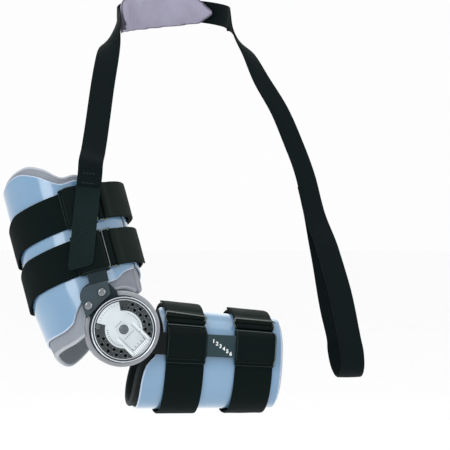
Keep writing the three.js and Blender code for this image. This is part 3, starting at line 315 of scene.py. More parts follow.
def linear(tone):
    return tuple(((c / 255) / 12.92 if c <= 10.3 else ((c / 255 + 0.055) / 1.055) ** 2.4) for c in tone)


class Nodes:
    def __init__(self, name):
        self.mat = bpy.data.materials.new(name)
        self.mat.use_nodes = True
        self.tree = self.mat.node_tree
        self.shader = self.tree.nodes["Principled BSDF"]

    def put(self, socket, value):
        if isinstance(value, bpy.types.NodeSocket):
            self.tree.links.new(value, socket)
        else:
            socket.default_value = value

    def node(self, kind, **inputs):
        n = self.tree.nodes.new(kind)
        for key, value in inputs.items():
            self.put(n.inputs[key], value)
        return n

    def math(self, operation, a, b=0.0, c=0.0):
        n = self.node("ShaderNodeMath")
        n.operation = operation
        for socket, value in zip(n.inputs, (a, b, c)):
            self.put(socket, value)
        return n.outputs[0]

    def coords(self, kind="Object", scale=(1.0, 1.0, 1.0)):
        mapping = self.node("ShaderNodeMapping", Vector=self.node("ShaderNodeTexCoord").outputs[kind])
        mapping.inputs["Scale"].default_value = scale
        return mapping.outputs[0]

    def noise(self, scale, detail=2.0, rough=0.5, stretch=(1.0, 1.0, 1.0)):
        n = self.node("ShaderNodeTexNoise", Vector=self.coords("Object", stretch), Scale=scale, Detail=detail,
                      Roughness=rough)
        return n.outputs["Fac"]

    def remap(self, value, low=0.0, high=1.0, start=0.3, end=0.7):
        n = self.node("ShaderNodeMapRange", Value=value)
        for key, number in (("From Min", start), ("From Max", end), ("To Min", low), ("To Max", high)):
            n.inputs[key].default_value = number
        return n.outputs[0]

    def mix(self, factor, a, b):
        n = self.node("ShaderNodeMix")
        n.data_type = "RGBA"
        self.put(n.inputs[0], factor)
        for socket, tone in ((n.inputs[6], a), (n.inputs[7], b)):
            self.put(socket, (*linear(tone), 1.0) if isinstance(tone, tuple) else tone)
        return n.outputs[2]

    def bump(self, height, strength, distance, before=None):
        n = self.node("ShaderNodeBump", Height=height, Strength=strength, Distance=distance)
        if before is not None:
            self.tree.links.new(before, n.inputs["Normal"])
        return n.outputs[0]

    def edge(self):
        n = self.node("ShaderNodeAttribute")
        n.attribute_name = "edge"
        return n.outputs["Fac"]

    def finish(self, tone, roughness, normal=None, **fixed):
        self.put(self.shader.inputs["Base Color"], tone)
        self.put(self.shader.inputs["Roughness"], roughness)
        if normal is not None:
            self.put(self.shader.inputs["Normal"], normal)
        for key, value in fixed.items():
            self.shader.inputs[key.replace("_", " ")].default_value = value
        return self.mat


def plastic(name, dark, light, fleck, rim):
    """Glossy thermoformed plastic, with a painted highlight along its rims"""
    m = Nodes(name)
    tone = m.mix(m.remap(m.noise(9.0)), dark, light)
    tone = m.mix(m.math("MULTIPLY", m.noise(140.0, 3.0, 0.6), 0.12), tone, fleck)
    # Paler along the rims, from the edge attribute: painted highlight
    tone = m.mix(m.math("MULTIPLY", m.edge(), m.remap(m.noise(300.0), 0.6, 1.0, 0.3, 0.6)), tone, rim)
    rough = m.remap(m.noise(60.0, 4.0), 0.15, 0.24)
    normal = m.bump(m.noise(900.0), 0.12, 0.0003, m.bump(m.noise(22.0, 1.0), 0.25, 0.002))
    return m.finish(tone, rough, normal, Coat_Weight=0.7, Coat_Roughness=0.07)


def foam(name, dark, light, rim):
    """Closed-cell foam with a fine brushed face, and a painted highlight along its rims"""
    m = Nodes(name)
    cells = m.noise(1500.0, 3.0, 0.7)
    tone = m.mix(m.remap(m.noise(18.0, 3.0)), dark, light)
    # Paler along the rims, from the edge attribute: painted highlight
    tone = m.mix(m.math("MULTIPLY", m.edge(), 0.75), tone, rim)
    normal = m.bump(m.noise(80.0, 3.0), 0.35, 0.0015, m.bump(cells, 0.35, 0.0004))
    return m.finish(tone, m.remap(cells, 0.8, 0.95), normal, Sheen_Weight=0.05, Sheen_Roughness=0.5,
                    Specular_IOR_Level=0.2)


def woven(name, dark, light, ribs, rib_depth, sheen):
    """Woven or brushed fabric: the pitches of its ribs along U and V, and a nap of loose fibres"""
    m = Nodes(name)
    uv = m.node("ShaderNodeSeparateXYZ", Vector=m.coords("UV"))
    waves = []
    for output, pitch in zip(uv.outputs, ribs):
        turn = m.math("MULTIPLY", output, 2 * math.pi / pitch)
        waves.append(m.math("MULTIPLY_ADD", m.math("SINE", turn), 0.5, 0.5))
    weave = m.math("MULTIPLY", *waves)
    fibre = m.noise(2600.0, 2.0, 0.7)
    patch = m.noise(35.0, 3.0, 0.55)
    amount = m.math("MULTIPLY_ADD", weave, 0.45, m.math("MULTIPLY", m.remap(patch), 0.4))
    amount = m.math("MULTIPLY", amount, m.remap(fibre, 0.5, 1.3, 0.25, 0.75))
    normal = m.bump(fibre, 0.35, 0.0004, m.bump(weave, 0.6, rib_depth))
    return m.finish(m.mix(amount, dark, light), m.remap(patch, 0.7, 0.85), normal, Sheen_Weight=sheen,
                    Sheen_Roughness=0.35, Specular_IOR_Level=0.07)


def painted(name, dark, light, rough, edge_wear_and_shading, gloss=0.5, root=None):
    """Coated metal or moulded plastic with an edge tone: wear, but painted highlight on the tab layer and
    painted shade on the forearm bar; root is a span of X and the painted shade tone below it
    """
    m = Nodes(name)
    tone = m.mix(m.remap(m.noise(30.0, 4.0)), dark, light)
    # Darker below a span of X: painted shade
    if root is not None:
        start, end, painted_shade_tone = root
        x = m.node("ShaderNodeSeparateXYZ", Vector=m.coords()).outputs[0]
        tone = m.mix(m.remap(x, 0.0, 1.0, start, end), painted_shade_tone, tone)
    # The edge tone is wear on most pieces; on the tab layer it is painted highlight, on the forearm bar
    # painted shade
    edge_wear_and_shading_mask = m.math("MULTIPLY", m.edge(), m.remap(m.noise(420.0, 4.0, 0.7), 0.0, 1.0, 0.42, 0.62))
    tone = m.mix(edge_wear_and_shading_mask, tone, edge_wear_and_shading)
    scratches = m.noise(90.0, 5.0, 0.65, (1.0, 1.0, 9.0))
    normal = m.bump(scratches, 0.08, 0.0004, m.bump(m.noise(1700.0), 0.15, 0.0002))
    return m.finish(tone, m.remap(scratches, rough, rough + 0.16), normal, Specular_IOR_Level=gloss)


def metal(name, tone, rough, stain):
    """Polished metal with handling marks"""
    m = Nodes(name)
    marks = m.noise(260.0, 5.0, 0.65)
    colour = m.mix(m.remap(marks, 0.0, 0.5, 0.35, 0.75), tone, stain)
    normal = m.bump(m.noise(700.0, 3.0), 0.05, 0.0003)
    return m.finish(colour, m.remap(marks, rough, rough + 0.15), normal, Metallic=1.0)


MAT = {key: make(*settings) for key, make, *settings in (
    # The last tone of the shell and of each foam is the painted highlight on its rims
    ("shell", plastic, "shell_plastic", (98, 134, 165), (112, 147, 176), (126, 157, 184), (176, 190, 208)),
    ("foam", foam, "liner_foam", (120, 126, 135), (138, 144, 152), (182, 187, 194)),
    # Painted shade for the elbow end of the forearm's liner
    ("dark_foam", foam, "dark_liner_foam", (10, 16, 17), (20, 26, 27), (40, 46, 48)),
    ("pad", foam, "hinge_pad_foam", (118, 119, 126), (136, 137, 144), (160, 161, 168)),
    ("strap", woven, "loop_strap", (3, 12, 12), (9, 22, 22), (0.0011, 0.0011), 0.00025, 0.012),
    ("fold", woven, "strap_end", (15, 24, 21), (26, 36, 31), (0.0009, 0.0009), 0.00015, 0.03),
    ("sleeve", woven, "sleeve_fabric", (4, 13, 13), (11, 23, 23), (0.0010, 0.0010), 0.0002, 0.015),
    ("webbing", woven, "sling_webbing", (4, 13, 14), (13, 24, 25), (0.0013, 0.0026), 0.0004, 0.012),
    ("tab", woven, "hook_tape", (15, 28, 28), (30, 45, 45), (0.0007, 0.0007), 0.0003, 0.03),
    ("neck", woven, "pad_cover", (140, 137, 155), (168, 166, 184), (0.0016, 0.0016), 0.0003, 0.1),
    ("pad_seam", woven, "pad_seam_tape", (92, 90, 106), (122, 120, 137), (0.0012, 0.0012), 0.0002, 0.1),
    ("pad_thread", woven, "pad_thread", (60, 58, 72), (86, 84, 98), (0.0008, 0.0008), 0.0001, 0.1),
    ("thread", woven, "thread", (38, 50, 48), (60, 72, 70), (0.0008, 0.0008), 0.0001, 0.1),
    # Lit copy of the edge piping: painted highlight
    ("bright_piping", woven, "bright_edge_piping", (70, 84, 82), (102, 116, 114), (0.0008, 0.0008), 0.0002,
     0.05),
    ("piping", woven, "edge_piping", (24, 36, 35), (46, 59, 57), (0.0008, 0.0008), 0.0002, 0.05),
    # slate_plate is the upper bar's paint in its shaded tone, and the tab layer's material is the same paint
    # in its lit tone with paler edges: painted shade and painted light
    ("plate", painted, "slate_plate", (25, 37, 42), (32, 45, 50), 0.36, (60, 72, 76), 0.12),
    ("tab_face", painted, "tab_face_plate", (49, 61, 67), (57, 69, 76), 0.32, (112, 124, 130), 0.16),
    # The forearm bar's near-black edge tone and the near-black tone below its span of X are painted shade:
    # shadow along its edges and over the stretch by the hinge
    ("bar", painted, "forearm_bar_paint", (37, 54, 59), (45, 63, 68), 0.34, (6, 10, 11), 0.12,
     (0.082, 0.086, (8, 14, 13))),
    ("skirt", painted, "hinge_skirt", (142, 146, 151), (158, 161, 166), 0.4, (188, 190, 194), 0.25),
    ("dial", painted, "dial_plastic", (26, 33, 37), (38, 47, 51), 0.26, (96, 104, 108)),
    # Near-black rings round the pin holes: painted shade
    ("socket", painted, "dial_socket", (4, 6, 7), (9, 12, 13), 0.5, (12, 16, 17)),
    ("rim", painted, "dial_rim_plastic", (88, 98, 102), (118, 128, 132), 0.3, (140, 148, 152)),
    ("label", painted, "label_film", (172, 182, 186), (194, 203, 207), 0.3, (225, 229, 232)),
    ("mark", painted, "dial_print", (40, 48, 52), (62, 70, 74), 0.4, (90, 96, 100)),
    ("white", painted, "white_print", (214, 220, 222), (230, 234, 236), 0.4, (240, 242, 244)),
    ("bezel", metal, "bezel_ring", (205, 212, 217), 0.2, (160, 168, 174)),
    ("chrome", metal, "rivet_chrome", (128, 134, 138), 0.1, (84, 90, 94)),
    ("rivet", metal, "centre_rivet_metal", (104, 112, 115), 0.26, (66, 74, 78)),
    ("buckle", metal, "buckle_wire", (112, 119, 116), 0.28, (58, 66, 63)))}


def dress(obj, slot, body, replaced, *materials):
    """Gives a finished piece its materials, its body and the solids that it stands for; its record slot is
    not used
    """
    for key in materials:
        obj.data.materials.append(MAT[key])
    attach(obj, body)
    if replaced:
        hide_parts(*replaced)
    return obj


# Cuffs

EDGE_BLEND = 6.0


def cuff_wall(name, cuff, span, faces, low, high, columns, corner, swell):
    """A wall between two faces and two edges of a cuff, with rounded rims, carried round the section"""
    inner, outer = faces
    r = (outer - inner) / 2 * 0.98
    mean = (cuff.half_across(60.0) + cuff.half_out) / 2
    end = np.degrees(r / mean)
    ease = 1 - np.cos(np.linspace(0, math.pi / 2, 5))
    angles = np.concatenate([
        span[0] + end * ease, np.linspace(span[0] + end * 1.6, span[1] - end * 1.6, columns),
        (span[1] - end * ease)[::-1]])
    from_end = np.radians(np.minimum(angles - span[0], span[1] - angles)) * mean
    scale = np.sqrt(np.clip(1 - (1 - np.minimum(from_end / r, 1)) ** 2, 0.012, 1))
    rounding = corner_cut(from_end, corner)
    lo, hi = low(angles) + rounding, high(angles) - rounding
    mid = (outer + inner) / 2
    long_steps = np.concatenate([[0, 0.004, 0.012], np.linspace(0.03, 0.97, 26), [0.988, 0.996, 1]])
    arc = np.radians(np.linspace(90, -90, 7)[1:-1])
    # Round the wall's section: distance along the cuff, depth, and how far the point lies on a rim, which
    # sets the rim's painted highlight
    ring = [(lo + r + t * (hi - lo - 2 * r), outer, 0.5 if t in (0.0, 1.0) else 0.0) for t in long_steps]
    ring += [(hi - r + r * math.cos(a), mid + r * math.sin(a), 1.0) for a in arc]
    ring += [(hi - r - t * (hi - lo - 2 * r), inner, 0.0) for t in long_steps]
    ring += [(lo + r - r * math.cos(a), mid + r * math.sin(a), 1.0) for a in arc[::-1]]
    distance = np.stack([p[0] for p in ring], 1)
    proud = mid + (np.array([p[1] for p in ring]) - mid) * scale[:, None]
    angle = np.repeat(angles[:, None], len(ring), 1)
    points = cuff.at(distance, angle, proud)
    rim = np.minimum(np.abs(distance - lo[:, None]), np.abs(hi[:, None] - distance))
    points = cuff.at(distance, angle, proud + swell(points, rim))
    edge = np.repeat(np.array([[p[2] for p in ring]]), len(angles), 0)
    edge[:3] = edge[-3:] = 0.8
    return grid_object(name, points, edge=edge)


def lower_edge(cuff, table, length, clearance):
    """The table's edge, blended on the hinge's side into a circle that clears the hinge"""
    def low(angle):
        line = edge_curve(table, angle) * length
        circle = cuff.leaves_circle(angle, 0.0, clearance)
        apart = np.minimum(np.abs(line - circle) / EDGE_BLEND, 40)
        blended = np.maximum(line, circle) + EDGE_BLEND * np.exp(-2 * apart) / 4
        return np.where((np.mod(angle, 360) > 180) | (circle < -1e5), line, blended)
    return low


def shell_swell(points, rim):
    return value_noise(points, 70.0, 3) * 0.12


def liner_swell(points, rim):
    """Soft waves, and the pressed line that runs beside the liner's rim"""
    return value_noise(points, 38.0, 5) * 0.22 - 0.35 * np.exp(-((rim - 4.5) / 1.1) ** 2)


BODY = {"upper": "upper_arm", "forearm": "forearm"}
LINER_OUTER = -SHELL_WALL - GAP
FACES = {"shell": (-SHELL_WALL, 0.0), "liner": (LINER_OUTER - LINER_WALL, LINER_OUTER)}
FOREARM_WRIST = [(14, 1.0), (302, 1.0)]

# Each wall: its opening, its edges, its clearance round the hinge, its lip past the upper edge and its corner
for limb, part, span, bottom, top, clearance, lip, corner in (
        ("upper", "shell", UPPER_SLIT, UPPER_SHELL_BOTTOM, UPPER_SHELL_TOP, 48.5, 0.0, 5.0),
        ("upper", "liner", UPPER_SLIT, UPPER_LINER_BOTTOM, UPPER_LINER_TOP, 39.7, 0.0, 5.0),
        ("forearm", "shell", FOREARM_OPEN, FOREARM_SHELL_ELBOW, FOREARM_WRIST, 44.0, 0.0, 6.0),
        ("forearm", "liner", (10.0, 306.0), FOREARM_LINER_ELBOW, FOREARM_WRIST, 39.7, 2.0, 5.0)):
    cuff, length, columns = (upper, UPPER_LENGTH, 190) if limb == "upper" else (forearm, FOREARM_LENGTH, 160)
    shell = part == "shell"
    wall = cuff_wall(f"{limb}_{part}_{'skin' if shell else 'foam'}", cuff, span, FACES[part],
                     lower_edge(cuff, bottom, length, clearance),
                     lambda a: edge_curve(top, a) * length + lip, columns, corner,
                     shell_swell if shell else liner_swell)
    slot = "shell" if shell else "foam"
    dress(wall, slot, BODY[limb], [f"{limb}_{part}"], slot)

# Painted shade on the elbow end of the forearm's liner
SHADE_REACH = 46.0
wall.data.materials.append(MAT["dark_foam"])
wall.data.polygons.foreach_set("material_index", [
    int((np.array(polygon.center) - metres(forearm.origin)) @ forearm.along < SHADE_REACH * 0.001)
    for polygon in wall.data.polygons])


# Straps

LOOP_RADIUS = STRAP_THICK / 2 + GAP + BUCKLE_ROD * math.sqrt(0.5) + 0.05
BASE_LEVEL = GAP + STRAP_THICK / 2
ROD_LEVEL = BASE_LEVEL + LOOP_RADIUS
LOOP_TOP = ROD_LEVEL + LOOP_RADIUS
FOLD_LEVEL = BASE_LEVEL + STRAP_THICK + GAP


class StrapRun:
    """A strap's run round a cuff: arcs are lengths round it, near and far the two rods of its buckle"""
    def __init__(self, limb, number, cuff, row, length, width, sag, seed):
        self.limb, self.number, self.cuff, self.row = limb, number, cuff, row
        self.width, self.sag, self.seed, self.body = width, sag, seed, BODY[limb]
        self.centre = row["centre"] * length
        self.mean = (cuff.half_across(self.centre) + cuff.half_out) / 2 + FOLD_LEVEL
        self.near = self.arc(row["buckle"])
        self.far = self.arc(row["buckle"] + 360) - BUCKLE_PITCH

    def piece(self, part, suffix=""):
        return f"{self.limb}_{part}_{self.number}{suffix}"

    def arc(self, angle):
        return math.radians(angle) * self.mean

    def sag_at(self, arc):
        return self.sag(math.degrees(arc / self.mean))

    def at(self, arc, proud, across):
        angle = np.degrees(np.asarray(arc, float) / self.mean)
        fallen = smoothstep(angle, *STRAP_FALLS) - smoothstep(angle, *STRAP_CLIMBS)
        slant = self.row["slant"] * np.cos(np.radians(angle))
        return self.cuff.at(self.centre + slant - self.row["drop"] * fallen + across, angle, proud)


def strap_path(run):
    """The strap's middle line: arc and height, and where its folded end begins"""
    turns = np.radians(np.linspace(90, -90, 13))
    path = [(run.near + 3.2, LOOP_TOP), (run.near + 1.6, LOOP_TOP)]
    path += [(run.near - LOOP_RADIUS * math.cos(a), ROD_LEVEL + LOOP_RADIUS * math.sin(a)) for a in turns]
    path += [(x, BASE_LEVEL + run.sag_at(x))
             for x in np.linspace(run.near + LOOP_RADIUS, run.far - LOOP_RADIUS, 150)]
    fold_from = len(path)
    path += [(run.far + LOOP_RADIUS * math.cos(a), ROD_LEVEL + LOOP_RADIUS * math.sin(a))
             for a in turns[::-1]]
    for back in np.linspace(0.8, run.arc(run.row["fold"]), 50):
        ease = float(smoothstep(back, 0, 9))
        level = LOOP_TOP * (1 - ease) + (FOLD_LEVEL + run.sag_at(run.far - back)) * ease
        path.append((run.far - back, level))
    return np.array(path), fold_from


def band_section(width, thick, roundness, steps):
    """Across and through offsets round a flat band with soft edges, starting on its outer face"""
    r = min(thick / 2 * 0.98, roundness)
    half = [(x, thick / 2) for x in np.linspace(-width / 2 + r, width / 2 - r, steps)]
    half += [(width / 2 - r + r * math.cos(a), (thick / 2 - r) * np.sign(math.sin(a)) + r * math.sin(a))
             for a in np.radians([60, 30, 0, -30, -60])]
    return np.array(half + [(-x, -y) for x, y in half])


def strap_mesh(run):
    path, fold_from = strap_path(run)
    tangent = np.gradient(path, axis=0)
    normal = unit(np.stack([-tangent[:, 1], tangent[:, 0]], 1))
    ring = band_section(run.width, STRAP_THICK, 0.9, 14)
    arc, proud = (path[:, None, k] + normal[:, None, k] * ring[None, :, 1] for k in (0, 1))
    ends = np.minimum(np.arange(len(path)), len(path) - 1 - np.arange(len(path)))
    taper = np.array([0.965, 0.985, 0.995, 1.0])[np.minimum(ends, 3)]
    across = ring[None, :, 0] * taper[:, None]
    ripple = value_noise(run.at(arc, proud, across), 26.0, run.seed) * 0.16
    points = run.at(arc, proud + ripple * np.sign(ring[None, :, 1]), across)
    obj = grid_object(run.piece("strap", "_band"), points, material=lambda i, j: i >= fold_from + 4)
    dress(obj, "strap", run.body, [run.piece("strap")], "strap", "fold")


def tube_mesh(name, line, radius, sides):
    line = np.asarray(line, float)
    tangent = unit(np.gradient(line, axis=0))
    side = unit(np.cross(tangent, (0.31, 0.17, 0.93)))
    other = np.cross(tangent, side)
    turns = np.linspace(0, 2 * math.pi, sides, endpoint=False)[None, :, None]
    return grid_object(name, line[:, None] + radius * (side[:, None] * np.cos(turns)
                                                       + other[:, None] * np.sin(turns)))


def buckle_mesh(run):
    """A rectangular ring of round wire, with the two rods that the strap goes round"""
    half, corner = BUCKLE_ROD / 2, 2.2
    low, high = run.far - run.arc(360) + corner, run.near - corner
    reach = run.width / 2 + GAP + half - corner
    outline = np.array([
        (x + corner * math.cos(a), y + corner * math.sin(a))
        for quarter, (x, y) in enumerate(((high, reach), (low, reach), (low, -reach), (high, -reach)))
        for a in np.radians(np.linspace(90 * quarter, 90 * quarter + 90, 7))])
    line = []
    for p, q in zip(outline, np.roll(outline, -1, 0)):
        steps = max(1, int(np.linalg.norm(q - p) / 1.5))
        line += [p + (q - p) * k / steps for k in range(steps)]
    line = np.array(line)
    tangent = np.roll(line, -1, 0) - np.roll(line, 1, 0)
    side = unit(np.stack([tangent[:, 1], -tangent[:, 0]], 1))
    wire = half * 1.02
    turns = np.radians(np.arange(0, 360, 36))
    arc, across = (line[:, None, k] + side[:, None, k] * np.cos(turns) * wire for k in (0, 1))
    proud = np.broadcast_to(ROD_LEVEL + np.sin(turns) * wire, arc.shape)
    obj = grid_object(run.piece("buckle", "_band"), run.at(arc, proud, across), wrap_rows=True)
    dress(obj, "buckle", run.body, [run.piece("buckle")], "buckle")


def buckle_rail(run):
    """The side of the wire frame that shows between the strap's sewn loop and the sleeve's edge"""
    shift, level, tilt = run.row["rail"]
    reach, corner = run.width / 2 + GAP + BUCKLE_ROD / 2, 2.0
    path = [(4.5, -reach), (corner, -reach)]
    path += [(corner - corner * math.sin(a), -reach + corner - corner * math.cos(a))
             for a in np.radians(np.linspace(15, 90, 6))]
    path += [(0.0, y) for y in np.linspace(-reach + corner + 1.5, reach - corner - 1.5, 24)]
    path += [(corner - corner * math.cos(a), reach - corner + corner * math.sin(a))
             for a in np.radians(np.linspace(0, 90, 7))]
    path += [(3.2, reach)]
    line = [run.at(run.near + shift + x + tilt * y / reach, level, y) for x, y in path]
    rail = tube_mesh(run.piece("buckle", "_rail"), line, BUCKLE_ROD * 0.47, 10)
    dress(rail, "buckle", run.body, [], "buckle")


# Sleeves over the bars

def bar_point(along, across):
    c, s = math.cos(rad(UPPER_TILT)), math.sin(rad(UPPER_TILT))
    return np.array([-s * along + c * across, c * along + s * across])


def upper_bar_place(distance, thick):
    start = upper.place(distance, 0.0, UPPER_HALF[1])
    along = -math.sin(rad(UPPER_TILT)) * start[0] + math.cos(rad(UPPER_TILT)) * start[2]
    x, z = bar_point(along, UPPER_BAR["offset"])
    back = max(along - UPPER_BAR["bend"], 0) * math.tan(rad(UPPER_LEAN))
    return np.array([x, BAR_BACK - thick + back, z]) - upper.origin - upper.along * distance


# Each bar in its cuff's section: width, and middle, back and front face at a distance along the cuff
BAR_MAPS = {
    "upper": (UPPER_BAR["width"], lambda d: upper_bar_place(d, 0) @ upper.across,
              lambda d: upper_bar_place(d, 0) @ upper.out,
              lambda d: upper_bar_place(d, BAR_THICK) @ upper.out),
    "forearm": (FOREARM_BAR["width"], lambda d: FOREARM_BAR["offset"] - FOREARM_CENTRE,
                lambda d: forearm.origin[1] - PLATE_BACK, lambda d: forearm.origin[1])}


def catmull_rom(q, t):
    """A centripetal curve's point at t between the second and third of four points"""
    d = [np.linalg.norm(q[k + 1] - q[k]) ** 0.5 for k in range(3)]
    d[0], d[2] = (end if end > 1e-3 else d[1] for end in (d[0], d[2]))
    leaves = ((q[1] - q[0]) / d[0] - (q[2] - q[0]) / (d[0] + d[1]) + (q[2] - q[1]) / d[1]) * d[1]
    arrives = ((q[2] - q[1]) / d[1] - (q[3] - q[1]) / (d[1] + d[2]) + (q[3] - q[2]) / d[2]) * d[1]
    return (q[1] + leaves * t + (3 * (q[2] - q[1]) - 2 * leaves - arrives) * t ** 2
            + (2 * (q[1] - q[2]) + leaves + arrives) * t ** 3)


def curve_through(points, count):
    """Evenly spaced points on a curve through a list of flat points"""
    p = np.array(points, float)
    last = len(p) - 1
    t = np.linspace(0, 1, 24, endpoint=False)[:, None]
    fine = [catmull_rom([p[max(i - 1, 0)], p[i], p[i + 1], p[min(i + 2, last)]], t) for i in range(last)]
    fine = np.vstack(fine + [p[-1:]])
    reach = reach_along(fine)
    want = np.linspace(0, reach[-1], count)
    return np.stack([np.interp(want, reach, fine[:, k]) for k in (0, 1)], 1)


ARCH_POINTS = 60


def sleeve_mesh(run):
    row, cuff = run.row, run.cuff
    width, bar_middle, bar_back, bar_front = BAR_MAPS[run.limb]

    def flat(distance, angles, lift):
        offset = cuff.at(distance, angles, SLEEVE_BASE + lift) - cuff.origin - cuff.along * distance
        return np.stack([offset @ cuff.across, offset @ cuff.out], -1)

    def ring(distance, squeeze):
        middle, low, high = bar_middle(distance), bar_back(distance), bar_front(distance)
        reach, top = width / 2 + GAP, high + GAP + SLEEVE_WALL
        flank = reach + SLEEVE_WALL + 1.2
        base = flat(distance, np.linspace(row["sleeve_from"], row["sleeve_to"], 16), 0.0)
        ends = np.array([row["sleeve_to"], row["sleeve_from"]])
        to, start = flat(distance, ends, SLEEVE_WALL)
        low_to, low_start = flat(distance, ends, 0.1)
        left, right = np.array([middle - flank, low + 0.2]), np.array([middle + flank, low + 0.2])
        sunk = np.array([0, 0.8])
        arch = curve_through([
            to, to * 0.45 + left * 0.55 - sunk, left, (middle - reach, top - 0.5),
            (middle - reach * 0.6, top), (middle, top + 0.15), (middle + reach * 0.6, top),
            (middle + reach, top - 0.5), right, start * 0.45 + right * 0.55 - sunk, start], ARCH_POINTS)
        outline = np.vstack([arch, [low_start], base[1:-1], [low_to]])
        return outline - squeeze * unit(outline - np.array([middle, (low + top) / 2]))

    half = row["sleeve_width"] / 2
    rows = []
    for t in np.linspace(-1, 1, 44):
        distance = run.centre + half * t
        from_end = half * (1 - abs(t))
        squeeze = 0.9 * (1 - math.sqrt(max(0.0, 1 - (1 - min(from_end / 1.4, 1)) ** 2)))
        # A sewn welt beside the end: a groove and a ridge
        squeeze += 0.45 * math.exp(-((from_end - 3.8) / 0.5) ** 2)
        squeeze -= 0.35 * math.exp(-((from_end - 2.2) / 0.7) ** 2)
        rows.append(cuff.place(distance, *ring(distance, squeeze).T))
    points = np.array(rows)
    points = points + cuff.out * (value_noise(points, 16.0, 20 + run.number) * 0.18)[..., None]
    obj = grid_object(run.piece("sleeve", "_band"), points)
    dress(obj, "sleeve", run.body, [run.piece("sleeve")], "sleeve")
    return points


# Stitches

STITCH_LENGTH = 2.2
STITCH_GAP = 1.1
STITCH_RADIUS = 0.32
STITCH_LIFT = 0.1
STITCH_PROFILE = ((-0.5, 0.25), (-0.36, 0.8), (0.0, 1.0), (0.36, 0.8), (0.5, 0.25))
STITCH_SIDES = 6


def stitch_row(name, line, face, body, slot, key="thread"):
    """A row of sewn stitches along a line, each a small rounded grain lying on the face"""
    reach = reach_along(line)

    def read(values, place):
        return np.array([np.interp(place, reach, values[:, k]) for k in range(3)])

    verts, faces = [], []
    for s in np.arange(STITCH_GAP, reach[-1] - STITCH_LENGTH, STITCH_LENGTH + STITCH_GAP):
        middle = read(line, s + STITCH_LENGTH / 2)
        tangent = unit(read(line, s + STITCH_LENGTH) - read(line, s))
        up = read(face, s + STITCH_LENGTH / 2)
        up = unit(up - tangent * (up @ tangent))
        side = np.cross(tangent, up)
        faces += tube_faces(len(verts), len(STITCH_PROFILE), STITCH_SIDES)
        for t, size in STITCH_PROFILE:
            for a in np.radians(np.arange(0, 360, 360 // STITCH_SIDES)):
                radius = STITCH_RADIUS * size
                offset = side * math.cos(a) * radius * 1.2 + up * (math.sin(a) * radius + STITCH_LIFT)
                verts.append(metres(middle + tangent * t * STITCH_LENGTH + offset))
    dress(make_object(name, verts, faces), slot, body, [], key)


def side_slack(angle):
    """How far an upper strap stands off at the sides of the arm"""
    left, right = math.cos(math.radians(angle - 195)), math.cos(math.radians(angle - 378))
    return 1.8 * max(left, 0) ** 6 + 2.6 * max(right, 0) ** 8


def under_arm_sag(angle):
    return STRAP_SAG * max(math.cos(math.radians(angle - 185)), 0) ** 2


# A rail: how far past the near rod it lies, how far proud of the shell, and its tilt
STRAP_COLUMNS = ("centre", "slant", "drop", "buckle", "fold", "sleeve_from", "sleeve_to", "sleeve_width",
                 "rail")
UPPER_STRAPS = ((0.695, 5, 10, 66, 78, 70, 99, 41.5, (4.1, 6.7, 0.0)),
                (0.403, 5, 10, 66, 50, 70, 99, 41.5, (4.1, 6.7, 0.0)))
FOREARM_STRAPS = ((0.3985, 0, 0, 51, 50, 55, 91, 41, (-8.2, 8.4, 1.4)),
                  (0.8235, 0, 0, 51, 50, 56, 91, 42, (-8.2, 8.4, 0.0)))

for limb, cuff, rows, length, width, sag, seed in (
        ("upper", upper, UPPER_STRAPS, UPPER_LENGTH, 37.5, side_slack, 29),
        ("forearm", forearm, FOREARM_STRAPS, FOREARM_LENGTH, 39.5, under_arm_sag, 31)):
    for number, row in enumerate(rows, 1):
        run = StrapRun(limb, number, cuff, dict(zip(STRAP_COLUMNS, row)), length, width, sag, seed)
        strap_mesh(run)
        buckle_mesh(run)
        buckle_rail(run)
        sleeve = sleeve_mesh(run)
        # Two rows of stitches close the sleeve's flanks, and piping runs round its outer face
        for side, column in (("a", 5), ("b", ARCH_POINTS - 6)):
            line = sleeve[3:-3, column]
            stitch_row(run.piece("sleeve", f"_stitches_{side}"), line, line - sleeve[3:-3].mean(1), run.body,
                       "sleeve")
        for side, line in (("near", sleeve[1:-1, ARCH_POINTS - 1]), ("far", sleeve[1:-1, 0]),
                           ("low", sleeve[1, :ARCH_POINTS]), ("high", sleeve[-2, :ARCH_POINTS])):
            # The forearm sleeves' near piping and the second one's upper piping are lit copies, paler and
            # thicker: painted highlight
            lit_side = limb == "forearm" and (side == "near" or (side == "high" and number == 2))
            lift, radius, key = (0.5, 0.65, "bright_piping") if lit_side else (0.0, 0.42, "piping")
            piping = tube_mesh(run.piece("sleeve", f"_piping_{side}"), line + cuff.out * lift, radius, 8)
            dress(piping, "sleeve", run.body, [], key)


# Sling

TAB_LOW = (55.0, -15.0)
TAB_HIGH = (147.0, 18.8)
TAB_SEWN = 13.0
TAB_THICK = 2.4
TAB_WIDTH = 26.0
TAB_RIBS = 47
TAB_GROUND = TAB_THICK - 0.7
STRAP_LIFT = 0.7 + TAB_THICK + GAP + SLING_THICK / 2
SEWN_PLACES = (1.6, 11.6)


def over_sleeves(distance, across, lift):
    _, middle, _, front = BAR_MAPS["upper"]
    return upper.place(distance, middle(distance) + across, front(distance) + GAP + SLEEVE_WALL + GAP + lift)


def pad_rise(turn):
    return 14 - 22 * ((turn - 88) / (180 - 88)) ** 2


